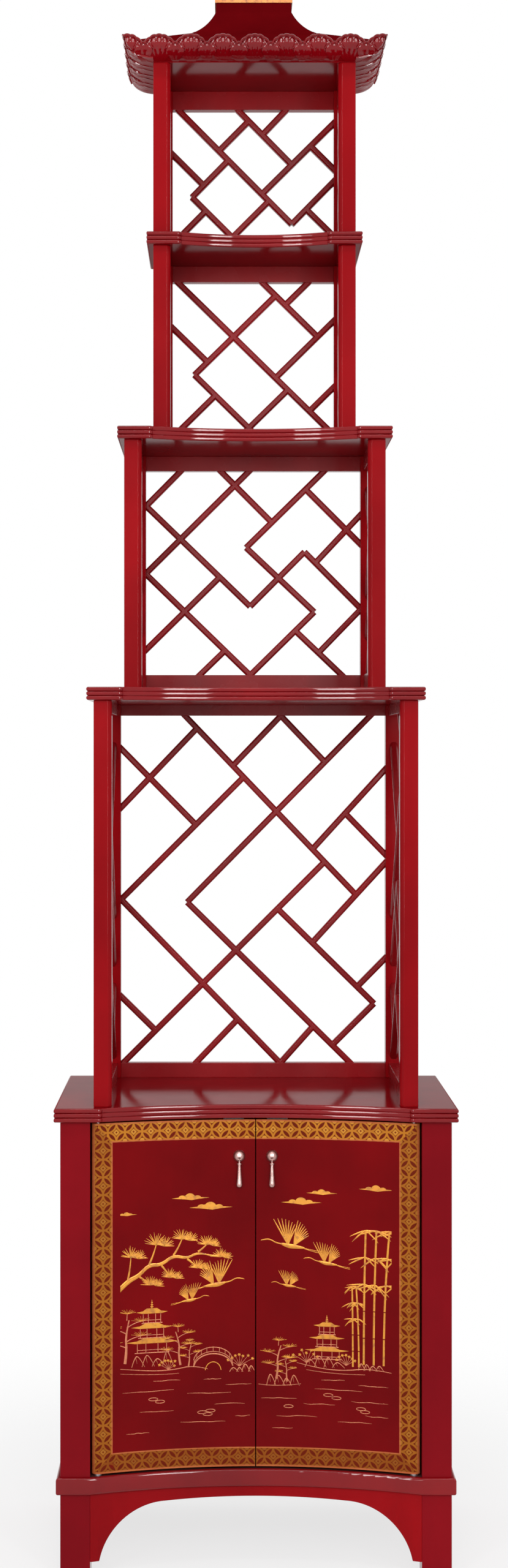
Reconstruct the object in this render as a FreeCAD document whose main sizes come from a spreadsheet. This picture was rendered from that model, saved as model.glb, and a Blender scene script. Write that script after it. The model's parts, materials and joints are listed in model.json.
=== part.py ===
import FreeCAD, Part
import math
import operator
import os
from types import SimpleNamespace

import Sketcher

# A tall lacquered etagere: a bow-hollowed two-door cabinet on four legs, four open tiers
# that step back towards the wall, fretwork at their backs and sides, and a pagoda roof.
# X runs along the front, the front faces -Y, Z is up, and the back of every tier is flush.

# Driving dimensions in millimetres
SIZES = {
    "cabinet": {
        "top_width": 582, "top_depth": 356, "cabinet_height": 677, "top_thick": 20,
        "top_overhang": 9, "top_ear": 70, "front_hollow": 44, "ear_step": 6, "leg_size": 43,
        "panel_thick": 16, "panel_inset": 3, "back_thick": 8, "back_inset": 4,
        "bottom_thick": 18, "band_low": 120, "band_height": 25, "band_out": 6,
        "band_round": 4, "apron_thick": 20, "bracket_foot": 22.5, "bracket_step": 13,
        "arch_radius": 97, "arch_run": 95.3, "arch_height": 79, "arch_rise": 3,
        "side_arch_rise": 0.6, "back_rail_foot": 60, "back_rail_thick": 18,
        "inner_shelf_rise": 405, "inner_shelf_thick": 16, "inner_shelf_gap": 1,
        "inner_shelf_setback": 14, "peg_radius": 2.5, "peg_seat": 8, "peg_out": 9,
        "peg_inset": 40,
    },
    "doors": {
        "door_thick": 18, "door_low_gap": 3, "door_top_gap": 3, "leg_gap": 1.6,
        "meeting_gap": 0.75, "meeting_bevel": 3, "pivot_radius": 3, "pivot_reach": 10,
        "pivot_seat": 12, "fit": 0.05, "collar_radius": 6, "collar_gap": 0.1,
        "catch_offset": 32, "catch_width": 30, "catch_depth": 18, "catch_height": 12,
        "strike_thick": 1.5, "catch_gap": 0.3,
    },
    "pulls": {
        "pull_below_top": 53, "pull_offset": 24, "rosette_radius": 8.7, "rosette_rim": 1.5,
        "rosette_dome": 7.5, "rosette_gap": 0.1, "slot_width": 3.4, "eye_gap": 0.2,
        "pull_pin_radius": 1, "pull_pin_out": 5.8, "pull_pin_drop": 4,
        "pull_pin_length": 7, "eye_radius": 2.4, "neck_radius": 1.3, "bead_radius": 3.8,
        "bead_start": 5.1, "bead_height": 3.2, "shank_radius": 2.6, "bell_radius": 4.6,
        "drop_length": 41, "stud_radius": 2, "stud_gap": 0.2, "nut_radius": 4,
        "nut_height": 3.2,
    },
    "tiers": {
        "tier1_inset": 56.5, "tier1_setback": 18, "tier1_height": 588,
        "tier1_top_rail": 17, "tier1_low_rail": 23, "tier1_hollow": 40,
        "tier2_inset": 39.5, "tier2_setback": 112, "tier2_height": 373,
        "tier2_top_rail": 23, "tier2_low_rail": 28, "tier2_hollow": 35,
        "tier3_inset": 42, "tier3_setback": 48, "tier3_height": 281,
        "tier3_top_rail": 25, "tier3_low_rail": 24, "tier3_hollow": 26,
        "tier4_inset": 0, "tier4_setback": 0, "tier4_height": 257,
        "tier4_top_rail": 29, "tier4_low_rail": 24,
        "post_size": 26, "post_bead": 5, "shelf_thick": 19, "shelf_overhang": 10,
        "shelf_ear": 53, "rail_thick": 16, "fret_bar": 9.5, "fret_depth": 12,
        "fret_bevel": 2.5,
    },
    "roof": {
        "soffit_thick": 14, "cornice_out": 45, "cornice_rise": 30, "core_inset": 7,
        "core_drop": 9, "cornice_seat": 20, "rim_width": 6, "petal_hub": 15,
        "petal_half": 22, "petal_thick": 5, "petal_lobe": 22, "petal_end": 10,
        "leaf_drop": 6, "leaf_inset": 3, "petal_start": 1, "roof_edge": 15,
        "roof_height": 106, "neck_rise": 14, "flare_out": 37.5, "flare_drop": 44.3,
        "flare_radius": 103, "neck_width": 117, "gilt_height": 12, "gilt_out": 1.5,
        "cap_height": 14, "cap_out": 1.5, "cap_bevel": 5, "overrun": 2,
    },
}
FRONT_PETALS = 7
SIDE_PETALS = 4
REEDS = 3
reed_round_share = 0.42
corner_petal_share = 0.8

# Fretwork bars as shares of each opening, from (u1, v1) to (u2, v2), v up from the low rail
tier1_back_shares = [
    (.242, 1, .894, .48), (.285, .962, 0, .735), (0, .905, .284, .685),
    (.605, 1, .425, .857), (.605, 1, .77, .868), (.944, 1, .25, .462),
    (.464, .823, 0, .47), (1, .845, .725, .615), (.847, .72, 1, .6),
    (1, .575, .727, .348), (.77, .578, .01, 0), (.25, .462, .866, 0),
    (.593, .443, .958, .17), (0, .47, .6, 0), (0, .19, .131, .092),
    (.441, .124, .285, 0), (.727, .104, .605, 0), (.958, .17, .8, .05),
    (1, .3, .894, .218),
]
tier2_back_shares = [
    (.16, 1, 0, .83), (0, .83, .486, .337), (.35, 1, .587, .75), (.48, 1, 0, .5),
    (0, .495, .486, 0), (.343, .48, 0, .125), (.83, 1, .467, .626),
    (.467, .626, .786, .31), (.74, .605, .486, .337), (.74, .605, 1, .33),
    (.746, .912, 1, .645), (1, .785, .79, .55), (.786, .31, .486, 0),
    (.697, .218, .915, 0), (1, .32, .806, .11), (.368, .12, .25, 0),
]
tier3_back_shares = [
    (.035, 1, .968, 0), (.56, 1, .9, .634), (.84, 1, .7, .85), (.64, .914, .135, .373),
    (0, .692, .217, .46), (.135, .373, .483, 0), (.265, .233, .048, 0),
    (.715, .27, .463, 0), (1, .74, .639, .352), (1, .288, .85, .126),
]
tier4_back_shares = [
    (.04, 1, .74, .122), (.41, 1, .74, .582), (.285, .686, .47, .918),
    (.7, 1, .555, .811), (1, .903, .554, .354), (.857, .727, 1, .55),
    (1, .452, .74, .122), (.83, .238, 1, .03), (.344, .614, .12, .33),
    (0, .661, .19, .425), (.12, .33, .386, 0), (.205, .224, .027, 0),
    (.597, .3, .356, 0),
]
tier1_side_shares = [
    (0, .947, 1, .426), (1, .911, .535, .668), (0, .692, .245, .82), (0, .546, 1, .025),
    (1, .291, .535, .534), (0, .255, .535, .534), (.42, .328, .804, .528),
    (.21, 0, .63, .219), (0, .164, .262, .027), (.157, .865, .42, 1),
    (1, .219, .815, .122),
]
tier2_side_shares = [
    (0, .932, 1, .391), (1, .9, .529, .646), (0, .621, .287, .776), (0, .466, .862, 0),
    (1, .186, .5, .457), (.259, .326, .69, .559), (.115, 0, .489, .202),
]
tier3_side_shares = [
    (0, .905, 1, .362), (1, .884, .52, .623), (0, .56, .317, .733), (0, .431, .794, 0),
    (.325, .254, .762, .491), (1, .302, .738, .03),
]
tier4_side_shares = [
    (0, .907, 1, .289), (1, .882, .52, .586), (0, .52, .317, .716), (0, .45, .794, 0),
    (.325, .26, .762, .436), (1, .32, .738, .03),
]


# Sizes that know their place in the sheet

class Size:
    # A length of the sheet or a sum of such lengths: its value now and its expression
    def __init__(self, value, text):
        self.value = value
        self.text = text

    def __add__(self, other):
        return joined(self, "+", other)

    def __radd__(self, other):
        return joined(other, "+", self)

    def __sub__(self, other):
        return joined(self, "-", other)

    def __rsub__(self, other):
        return joined(other, "-", self)

    def __mul__(self, other):
        return joined(self, "*", other)

    def __rmul__(self, other):
        return joined(other, "*", self)

    def __truediv__(self, other):
        return joined(self, "/", other)

    def __neg__(self):
        return joined(-1, "*", self)


SIGNS = {"+": operator.add, "-": operator.sub, "*": operator.mul, "/": operator.truediv}


def sized(thing):
    return thing if isinstance(thing, Size) else Size(thing, repr(thing))


def joined(left, sign, right):
    left, right = sized(left), sized(right)
    return Size(SIGNS[sign](left.value, right.value), f"({left.text} {sign} {right.text})")


def root(size):
    return Size(math.sqrt(size.value), f"sqrt({size.text})")


def bow_radius(half_chord, rise):
    return (half_chord * half_chord + rise * rise) / (2 * rise)


# The document, its sheet, and what a piece of it needs

doc = FreeCAD.newDocument("etagere")
sheet = doc.addObject("Spreadsheet::Sheet", "Sizes")
row = 1
sizes = {}
for group, members in SIZES.items():
    sheet.set(f"A{row}", group)
    row += 1
    for name, value in members.items():
        sheet.set(f"A{row}", name)
        sheet.set(f"B{row}", str(value))
        sheet.setAlias(f"B{row}", name)
        sizes[name] = Size(value, f"Sizes.{name}")
        row += 1
doc.recompute()
s = SimpleNamespace(**sizes)
pieces = []


def keep(thing, label):
    thing.Label = label
    pieces.append(thing)
    return thing


def bind(thing, prop, size):
    thing.setExpression(prop, sized(size).text)


def place(thing, x, y, z):
    for axis, size in zip("xyz", (x, y, z)):
        bind(thing, f"Placement.Base.{axis}", size)


def block(name, low, span):
    # A sawn board, by its lowest corner and its three spans
    box = doc.addObject("Part::Box", name)
    for prop, size in zip(("Length", "Width", "Height"), span):
        bind(box, prop, size)
    place(box, *low)
    return box


def rod(name, radius, height, x, y, z):
    bar = doc.addObject("Part::Cylinder", name)
    bind(bar, "Radius", radius)
    bind(bar, "Height", height)
    place(bar, x, y, z)
    return bar


def turn(thing, rotation):
    thing.Placement = FreeCAD.Placement(thing.Placement.Base, rotation)


def new_body(name, x=0, y=0, z=0):
    body = doc.addObject("PartDesign::Body", name)
    place(body, x, y, z)
    return body


def origin_part(body, role):
    return next(part for part in body.Origin.OriginFeatures if part.Role == role)


def new_sketch(body, role):
    sketch = body.newObject("Sketcher::SketchObject", "Outline")
    sketch.AttachmentSupport = [(origin_part(body, role), "")]
    sketch.MapMode = "FlatFace"
    return sketch


def fix_point(sketch, geo, pos, corner):
    for kind, axis, size in zip(("DistanceX", "DistanceY"), (-2, -1), corner):
        size = sized(size)
        if size.value == 0:
            sketch.addConstraint(Sketcher.Constraint("PointOnObject", geo, pos, axis))
        else:
            index = sketch.addConstraint(Sketcher.Constraint(kind, geo, pos, size.value))
            sketch.setExpression(f"Constraints[{index}]", size.text)


def arc_edge(start, end, radius, left):
    # An arc from start to end whose centre lies to the left or to the right of its chord
    chord = end - start
    reach = math.sqrt(max(radius * radius - chord.Length ** 2 / 4, 0))
    across = FreeCAD.Vector(-chord.y, chord.x, 0).normalize() * (reach if left else -reach)
    centre = (start + end) * 0.5 + across
    ends = (start, end) if left else (end, start)
    angles = [math.atan2(point.y - centre.y, point.x - centre.x) for point in ends]
    circle = Part.Circle(centre, FreeCAD.Vector(0, 0, 1), radius)
    return Part.ArcOfCircle(circle, *angles)


def outline(sketch, corners, arcs=None):
    # A closed outline through the corners; arcs gives the radius and side of curved edges,
    # and for a half round also the first coordinate of its centre
    arcs = arcs or {}
    points = [FreeCAD.Vector(sized(x).value, sized(y).value, 0) for x, y in corners]
    ends = []
    for index, start in enumerate(points):
        end = points[(index + 1) % len(points)]
        if index in arcs:
            radius, left = arcs[index][:2]
            geo = sketch.addGeometry(arc_edge(start, end, sized(radius).value, left))
            ends.append((geo, 1, 2) if left else (geo, 2, 1))
        else:
            geo = sketch.addGeometry(Part.LineSegment(start, end))
            ends.append((geo, 1, 2))
    for index, (geo, head, tail) in enumerate(ends):
        following, next_head, _ = ends[(index + 1) % len(ends)]
        sketch.addConstraint(
            Sketcher.Constraint("Coincident", geo, tail, following, next_head))
        fix_point(sketch, geo, head, corners[index])
        if index in arcs:
            *_, size = arcs[index] if len(arcs[index]) > 2 else arcs[index][:1]
            kind = ("DistanceX", geo, 3) if len(arcs[index]) > 2 else ("Radius", geo)
            index_now = sketch.addConstraint(Sketcher.Constraint(*kind, size.value))
            sketch.setExpression(f"Constraints[{index_now}]", size.text)


def ring(sketch, centre, radius):
    radius = sized(radius)
    point = FreeCAD.Vector(*[sized(size).value for size in centre], 0)
    geo = sketch.addGeometry(Part.Circle(point, FreeCAD.Vector(0, 0, 1), radius.value))
    index = sketch.addConstraint(Sketcher.Constraint("Radius", geo, radius.value))
    sketch.setExpression(f"Constraints[{index}]", radius.text)
    fix_point(sketch, geo, 3, centre)


def pad(body, sketch, length, middle=False):
    feature = body.newObject("PartDesign::Pad", "Pad")
    feature.Profile = (sketch, [""])
    bind(feature, "Length", length)
    feature.Midplane = middle
    sketch.Visibility = False
    return feature


def spin(body, sketch):
    feature = body.newObject("PartDesign::Revolution", "Revolution")
    feature.Profile = (sketch, [""])
    feature.ReferenceAxis = (sketch, ["V_Axis"])
    feature.Angle = 360
    sketch.Visibility = False
    return feature


def cut_through(body, sketch, span=None):
    # Cuts the outline through the body both ways from its plane, or over the given span
    doc.recompute()
    before = body.Shape.Volume
    feature = body.newObject("PartDesign::Pocket", "Pocket")
    feature.Profile = (sketch, [""])
    feature.Midplane = True
    if span is None:
        feature.Type = "ThroughAll"
    else:
        bind(feature, "Length", span)
    doc.recompute()
    if feature.Shape.Volume >= before:
        raise ValueError(f"{body.Name}: the pocket cuts nothing")
    return feature


def slab(name, corners, arcs, height, x=0, y=0, z=0):
    # A board sawn to a plan outline, lying at height z
    body = new_body(name, x, y, z)
    sketch = new_sketch(body, "XY_Plane")
    outline(sketch, corners, arcs)
    pad(body, sketch, height)
    return body


def level(edge):
    return edge.BoundBox.ZLength < s.fit.value


def on_line(edge, y):
    return all(abs(vertex.Y - y.value) < s.fit.value for vertex in edge.Vertexes)


def round_edges(body, radius, wanted):
    # Rounds the edges of the last feature for which wanted(edge) is true
    doc.recompute()
    last = body.Tip
    names = [f"Edge{index + 1}" for index, edge in enumerate(last.Shape.Edges) if wanted(edge)]
    feature = body.newObject("PartDesign::Fillet", "Round")
    feature.Base = (last, names)
    bind(feature, "Radius", radius)
    return feature


def fused(name, parts):
    union = doc.addObject("Part::MultiFuse", name)
    union.Shapes = parts
    return union


def cut(name, base, tool):
    difference = doc.addObject("Part::Cut", name)
    difference.Base = base
    difference.Tool = tool
    return difference


def shaped(name, shape):
    feature = doc.addObject("Part::Feature", name)
    feature.Shape = shape
    return feature


# Places that several pieces share

back = s.top_depth / 2
top_front = -back
case_half = s.top_width / 2 - s.top_overhang
case_front = top_front + s.top_overhang
leg_inner = case_half - s.leg_size
leg_back = case_front + s.leg_size
rear_leg_front = back - s.leg_size
top_low = s.cabinet_height - s.top_thick
floor_top = s.band_low + s.band_height
floor_low = floor_top - s.bottom_thick
panel_outer = case_half - s.panel_inset
panel_inner = panel_outer - s.panel_thick
bow = bow_radius(leg_inner, s.front_hollow)
bow_centre = case_front + s.front_hollow - bow
SIDES = (("left", -1), ("right", 1))


def on_bow(radius, x):
    # The depth at x of an arc drawn about the centre of the front's hollow
    return bow_centre + root(radius * radius - x * x)


# Legs, panels and rails of the cabinet

for side, sign in SIDES:
    leg_low = -case_half if sign < 0 else leg_inner
    for end, low_y in (("front", case_front), ("back", rear_leg_front)):
        name = f"leg_{end}_{side}"
        keep(block(name, (leg_low, low_y, 0), (s.leg_size, s.leg_size, top_low)), name)

    panel_low = -panel_outer if sign < 0 else panel_inner
    span = rear_leg_front - leg_back
    panel = block(f"panel_{side}", (panel_low, leg_back, s.band_low),
                  (s.panel_thick, span, top_low - s.band_low))
    seat_low = -panel_inner - s.peg_seat if sign < 0 else panel_inner
    seats = []
    for y in (leg_back + s.peg_inset, rear_leg_front - s.peg_inset):
        seat = rod(f"peg_seat_{side}", s.peg_radius + s.fit, s.peg_seat, seat_low, y,
                   s.inner_shelf_rise - s.inner_shelf_thick - s.peg_radius)
        turn(seat, FreeCAD.Rotation(FreeCAD.Vector(0, 1, 0), 90))
        seats.append(seat)
    keep(cut(f"side_panel_{side}", panel, fused(f"peg_seats_{side}", seats)),
         f"side_panel_{side}")

    # The side apron: a flat board with the same basket arch as the front
    half = span / 2
    body = new_body(f"side_apron_{side}", panel_low, leg_back + half, s.bracket_foot)
    sketch = new_sketch(body, "YZ_Plane")
    arch_low = half - s.bracket_step
    arch_high = arch_low - s.arch_run
    rise = s.band_low - s.bracket_foot
    arch_bow = bow_radius(arch_high, s.side_arch_rise)
    outline(sketch, [(-half, 0), (-arch_low, 0), (-arch_high, s.arch_height),
                     (arch_high, s.arch_height), (arch_low, 0), (half, 0), (half, rise),
                     (-half, rise)],
            {1: (s.arch_radius, False), 2: (arch_bow, False), 3: (s.arch_radius, False)})
    pad(body, sketch, s.panel_thick)
    keep(body, f"side_apron_{side}")

keep(block("back_panel", (-leg_inner, back - s.back_inset - s.back_thick, floor_low),
           (2 * leg_inner, s.back_thick, top_low - floor_low)), "back_panel")
keep(block("back_rail", (-leg_inner, back - s.back_inset - s.back_rail_thick,
                         s.back_rail_foot),
           (2 * leg_inner, s.back_rail_thick, floor_low - s.back_rail_foot)), "back_rail")

# The front apron: a bow-hollowed rail with a bracket step at each leg and a basket arch
apron_bow = bow + s.apron_thick
body = slab("front_apron",
            [(-leg_inner, case_front), (leg_inner, case_front),
             (leg_inner, on_bow(apron_bow, leg_inner)),
             (-leg_inner, on_bow(apron_bow, leg_inner))],
            {0: (bow, False), 2: (apron_bow, True)},
            floor_low - s.bracket_foot, z=s.bracket_foot)
sketch = new_sketch(body, "XZ_Plane")
arch_low = leg_inner - s.bracket_step
arch_high = arch_low - s.arch_run
outline(sketch, [(-arch_low, -s.overrun), (-arch_low, 0), (-arch_high, s.arch_height),
                 (arch_high, s.arch_height), (arch_low, 0), (arch_low, -s.overrun)],
        {1: (s.arch_radius, False), 2: (bow_radius(arch_high, s.arch_rise), False),
         3: (s.arch_radius, False)})
cut_through(body, sketch)
keep(body, "front_apron")

# The moulded band round the cabinet: a bowed front strip and two straight returns
band_half = case_half + s.band_out
band_front = case_front - s.band_out
body = slab("band_front",
            [(-band_half, band_front), (-leg_inner, band_front), (leg_inner, band_front),
             (band_half, band_front), (case_half, case_front), (leg_inner, case_front),
             (-leg_inner, case_front), (-case_half, case_front)],
            {1: (bow, False), 5: (bow, True)}, s.band_height, z=s.band_low)
round_edges(body, s.band_round, lambda edge: level(edge) and on_line(edge, band_front))
keep(body, "band_front")
returns = []
for side, sign in SIDES:
    body = slab(f"band_{side}",
                [(sign * case_half, case_front), (sign * band_half, band_front),
                 (sign * band_half, back), (sign * case_half, back),
                 (sign * case_half, rear_leg_front), (sign * panel_outer, rear_leg_front),
                 (sign * panel_outer, leg_back), (sign * case_half, leg_back)],
                {}, s.band_height, z=s.band_low)
    outer_x = sign * band_half.value
    round_edges(body, s.band_round, lambda edge: level(edge) and all(
        abs(vertex.X - outer_x) < s.fit.value for vertex in edge.Vertexes))
    returns.append(body)
keep(fused("band_returns", returns), "band_returns")

# The doors turn on pins at the middle of their thickness, so each hinge edge is a half round
door_half = s.door_thick / 2
door_mid = bow + door_half
door_back = bow + s.door_thick
pivot_x = leg_inner - s.leg_gap - door_half
pivot_y = on_bow(door_mid, pivot_x)
door_low = floor_top + s.door_low_gap
door_high = top_low - s.door_top_gap
door_rise = door_high - door_low
pull_rise = door_high - s.pull_below_top


def pivot_bores(name, low, high, radius):
    # A bore at each pivot, between two heights
    return fused(name, [rod(f"{name}_{side}", radius, high - low, sign * pivot_x, pivot_y, low)
                        for side, sign in SIDES])


# The floor of the cabinet, bored for the lower pins and notched round the legs
floor = slab("floor_blank",
             [(-leg_inner, case_front), (leg_inner, case_front), (leg_inner, leg_back),
              (panel_inner, leg_back), (panel_inner, rear_leg_front),
              (leg_inner, rear_leg_front),
              (leg_inner, back - s.back_inset - s.back_thick),
              (-leg_inner, back - s.back_inset - s.back_thick),
              (-leg_inner, rear_leg_front), (-panel_inner, rear_leg_front),
              (-panel_inner, leg_back), (-leg_inner, leg_back)],
             {0: (bow, False)}, s.bottom_thick, z=floor_low)
keep(cut("bottom_board", floor, pivot_bores("floor_bores", floor_top - s.pivot_seat,
                                            floor_top + s.overrun, s.pivot_radius + s.fit)),
     "bottom_board")

# The loose shelf inside rests on four pegs in the side panels
shelf_low = s.inner_shelf_rise - s.inner_shelf_thick
shelf_half = panel_inner - s.inner_shelf_gap
tongue_half = leg_inner - s.inner_shelf_gap
shelf_front = case_front + s.front_hollow + s.door_thick + s.inner_shelf_setback
keep(slab("inner_shelf",
          [(-shelf_half, shelf_front), (shelf_half, shelf_front),
           (shelf_half, rear_leg_front - s.inner_shelf_gap),
           (tongue_half, rear_leg_front - s.inner_shelf_gap),
           (tongue_half, back - s.back_inset - s.back_thick - s.inner_shelf_gap),
           (-tongue_half, back - s.back_inset - s.back_thick - s.inner_shelf_gap),
           (-tongue_half, rear_leg_front - s.inner_shelf_gap),
           (-shelf_half, rear_leg_front - s.inner_shelf_gap)],
          {}, s.inner_shelf_thick, z=shelf_low), "inner_shelf")
pegs = []
for side, sign in SIDES:
    peg_low = -panel_inner - s.peg_seat if sign < 0 else panel_inner - s.peg_out
    for y in (leg_back + s.peg_inset, rear_leg_front - s.peg_inset):
        peg = rod(f"peg_{side}", s.peg_radius, s.peg_seat + s.peg_out, peg_low, y,
                  shelf_low - s.peg_radius)
        turn(peg, FreeCAD.Rotation(FreeCAD.Vector(0, 1, 0), 90))
        pegs.append(peg)
keep(fused("shelf_pegs", pegs), "shelf_pegs")


def reeded_board(name, width, front, ear, hollow, thick, low):
    # A shelf board: straight ears at the corners, a hollowed middle and a triple-reeded edge
    half = width / 2
    step = half - ear
    rise = hollow - s.ear_step
    body = new_body(name, 0, 0, low)
    sketch = new_sketch(body, "XY_Plane")
    outline(sketch,
            [(-half, front), (-step - s.ear_step, front), (-step, front + s.ear_step),
             (step, front + s.ear_step), (step + s.ear_step, front), (half, front),
             (half, back), (-half, back)],
            {1: (s.ear_step, True), 2: (bow_radius(step, rise), False),
             3: (s.ear_step, True)})
    pad(body, sketch, thick / REEDS)
    round_edges(body, thick / REEDS * reed_round_share,
                lambda edge: level(edge) and not on_line(edge, back))
    pattern = body.newObject("PartDesign::LinearPattern", "Reeds")
    pattern.TransformMode = "Whole shape"
    pattern.Direction = (origin_part(body, "Z_Axis"), [""])
    pattern.Occurrences = REEDS
    bind(pattern, "Length", thick / REEDS * (REEDS - 1))
    body.Tip = pattern
    return body


board = reeded_board("top_blank", s.top_width, top_front, s.top_ear, s.front_hollow,
                     s.top_thick, top_low)
keep(cut("cabinet_top", board, pivot_bores("top_bores", top_low - s.overrun,
                                           top_low + s.pivot_seat, s.pivot_radius + s.fit)),
     "cabinet_top")

# Pivot pins: the lower ones carry the doors on a collar, the upper ones only guide them
pins = []
for side, sign in SIDES:
    lower = rod(f"pin_low_{side}", s.pivot_radius, s.pivot_seat + s.door_low_gap
                + s.pivot_reach, sign * pivot_x, pivot_y, floor_top - s.pivot_seat)
    collar = rod(f"collar_{side}", s.collar_radius, s.door_low_gap - s.collar_gap,
                 sign * pivot_x, pivot_y, floor_top)
    upper = rod(f"pin_high_{side}", s.pivot_radius, s.pivot_seat + s.door_top_gap
                + s.pivot_reach, sign * pivot_x, pivot_y, door_high - s.pivot_reach)
    pins += [lower, collar, upper]
keep(fused("pivot_pins", pins), "pivot_pins")

# Doors, and the pull and the magnet strike that each one carries
pull_turn = math.degrees(math.asin(s.pull_offset.value / bow.value))
catch_turn = math.degrees(math.asin(s.catch_offset.value / door_back.value))
pull_y = on_bow(bow, s.pull_offset)
catches = []
for side, sign in SIDES:
    edge_front = s.meeting_gap
    edge_back = s.meeting_gap + s.meeting_bevel
    hinge_front = bow / door_mid
    hinge_back = door_back / door_mid
    depth = pivot_y - bow_centre
    left = sign > 0
    blank = slab(f"door_blank_{side}",
                 [(sign * edge_front, on_bow(bow, edge_front)),
                  (sign * edge_back, on_bow(door_back, edge_back)),
                  (sign * pivot_x * hinge_back, bow_centre + depth * hinge_back),
                  (sign * pivot_x * hinge_front, bow_centre + depth * hinge_front)],
                 {1: (door_back, not left), 2: (door_half, not left, sign * pivot_x),
                  3: (bow, left)},
                 door_rise, z=door_low)
    bores = [rod(f"door_bore_low_{side}", s.pivot_radius + s.fit, s.pivot_reach
                 + s.collar_gap + s.overrun, sign * pivot_x, pivot_y, door_low - s.overrun),
             rod(f"door_bore_high_{side}", s.pivot_radius + s.fit, s.pivot_reach
                 + s.collar_gap + s.overrun, sign * pivot_x, pivot_y,
                 door_high - s.pivot_reach - s.collar_gap)]
    inward = FreeCAD.Rotation(FreeCAD.Vector(0, 0, 1), -sign * pull_turn)
    bore_start = (bow - s.overrun) / bow
    stud_bore = rod(f"stud_bore_{side}", s.stud_radius + s.stud_gap,
                    s.door_thick + 2 * s.overrun, sign * s.pull_offset * bore_start,
                    bow_centre + (pull_y - bow_centre) * bore_start, pull_rise)
    turn(stud_bore, inward * FreeCAD.Rotation(FreeCAD.Vector(1, 0, 0), -90))
    keep(cut(f"door_{side}", blank, fused(f"door_bores_{side}", bores + [stud_bore])),
         f"door_{side}")

    # The drop pull: a domed rosette with a slot and a cross pin, its stud through the door
    def on_radius(radius, x_at_bow=s.pull_offset, y_at_bow=pull_y):
        share = radius / bow
        return sign * x_at_bow * share, bow_centre + (y_at_bow - bow_centre) * share

    rosette = new_body(f"rosette_{side}", *on_radius(bow - s.rosette_gap), pull_rise)
    turn(rosette, inward)
    dome_radius = bow_radius(s.rosette_radius, s.rosette_dome)
    stud_end = s.rosette_gap * 3 + s.door_thick + s.nut_height
    sketch = new_sketch(rosette, "XY_Plane")
    outline(sketch, [(0, stud_end), (s.stud_radius, stud_end), (s.stud_radius, 0),
                     (s.rosette_radius, 0), (s.rosette_radius, -s.rosette_rim),
                     (0, -s.rosette_rim - s.rosette_dome)], {4: (dome_radius, False)})
    spin(rosette, sketch)
    slot_floor = s.pull_pin_out - s.eye_radius - s.eye_gap
    slot_top = s.pull_pin_drop - s.eye_radius - s.eye_gap
    sketch = new_sketch(rosette, "YZ_Plane")
    slot_out = -s.rosette_rim - s.rosette_dome - s.overrun
    slot_low = -s.rosette_radius - s.overrun
    outline(sketch, [(slot_out, slot_low), (-slot_floor, slot_low),
                     (-slot_floor, -slot_top), (slot_out, -slot_top)])
    cut_through(rosette, sketch, s.slot_width)
    sketch = new_sketch(rosette, "YZ_Plane")
    ring(sketch, (-s.pull_pin_out, -s.pull_pin_drop), s.pull_pin_radius)
    pad(rosette, sketch, s.pull_pin_length, middle=True)
    keep(rosette, f"pull_rosette_{side}")

    drop = new_body(f"drop_{side}", *on_radius(bow - s.rosette_gap - s.pull_pin_out),
                    pull_rise - s.pull_pin_drop)
    turn(drop, inward)
    neck_top = -(s.pull_pin_radius + s.eye_radius) / 2
    bead_end = -s.bead_start - s.bead_height
    bead_round = bow_radius(s.bead_height / 2, s.bead_radius - s.shank_radius)
    bell_top = s.bell_radius - s.drop_length
    sketch = new_sketch(drop, "XZ_Plane")
    outline(sketch, [(0, neck_top), (0, -s.drop_length), (s.bell_radius, bell_top),
                     (s.shank_radius, bead_end), (s.shank_radius, -s.bead_start),
                     (s.neck_radius, -s.bead_start), (s.neck_radius, neck_top)],
            {1: (s.bell_radius, True), 3: (bead_round, True)})
    spin(drop, sketch)
    sketch = new_sketch(drop, "YZ_Plane")
    ring(sketch, (0, 0), s.eye_radius)
    pad(drop, sketch, s.slot_width - 2 * s.eye_gap, middle=True)
    sketch = new_sketch(drop, "YZ_Plane")
    ring(sketch, (0, 0), s.pull_pin_radius + s.fit)
    cut_through(drop, sketch)
    keep(drop, f"pull_drop_{side}")

    nut_x, nut_y = on_radius(door_back + s.rosette_gap)
    nut = doc.addObject("Part::Prism", f"nut_blank_{side}")
    nut.Polygon = 6
    bind(nut, "Circumradius", s.nut_radius)
    bind(nut, "Height", s.nut_height)
    thread = rod(f"nut_bore_{side}", s.stud_radius + s.fit, s.nut_height, nut_x, nut_y,
                 pull_rise)
    place(nut, nut_x, nut_y, pull_rise)
    for part in (nut, thread):
        turn(part, inward * FreeCAD.Rotation(FreeCAD.Vector(1, 0, 0), -90))
    keep(cut(f"pull_nut_{side}", nut, thread), f"pull_nut_{side}")

    # A steel strike on the back of the door and its magnet catch under the cabinet top
    half = s.catch_width / 2
    catch_face = on_bow(door_back, s.catch_offset)
    strike_radius = door_back + s.rosette_gap
    catch_radius = strike_radius + s.strike_thick + s.catch_gap
    for name, radius, thick, high in (
            (f"strike_{side}", strike_radius, s.strike_thick, door_high),
            (f"catch_{side}", catch_radius, s.catch_depth, top_low)):
        share = radius / door_back
        part = slab(name, [(-half, 0), (half, 0), (half, thick), (-half, thick)], {},
                    high - top_low + s.catch_height, sign * s.catch_offset * share,
                    bow_centre + (catch_face - bow_centre) * share,
                    top_low - s.catch_height)
        turn(part, FreeCAD.Rotation(FreeCAD.Vector(0, 0, 1), -sign * catch_turn))
        if high is door_high:
            keep(part, f"strike_plate_{side}")
        else:
            catches.append(part)
keep(fused("magnet_catches", catches), "magnet_catches")


# The open tiers

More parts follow.
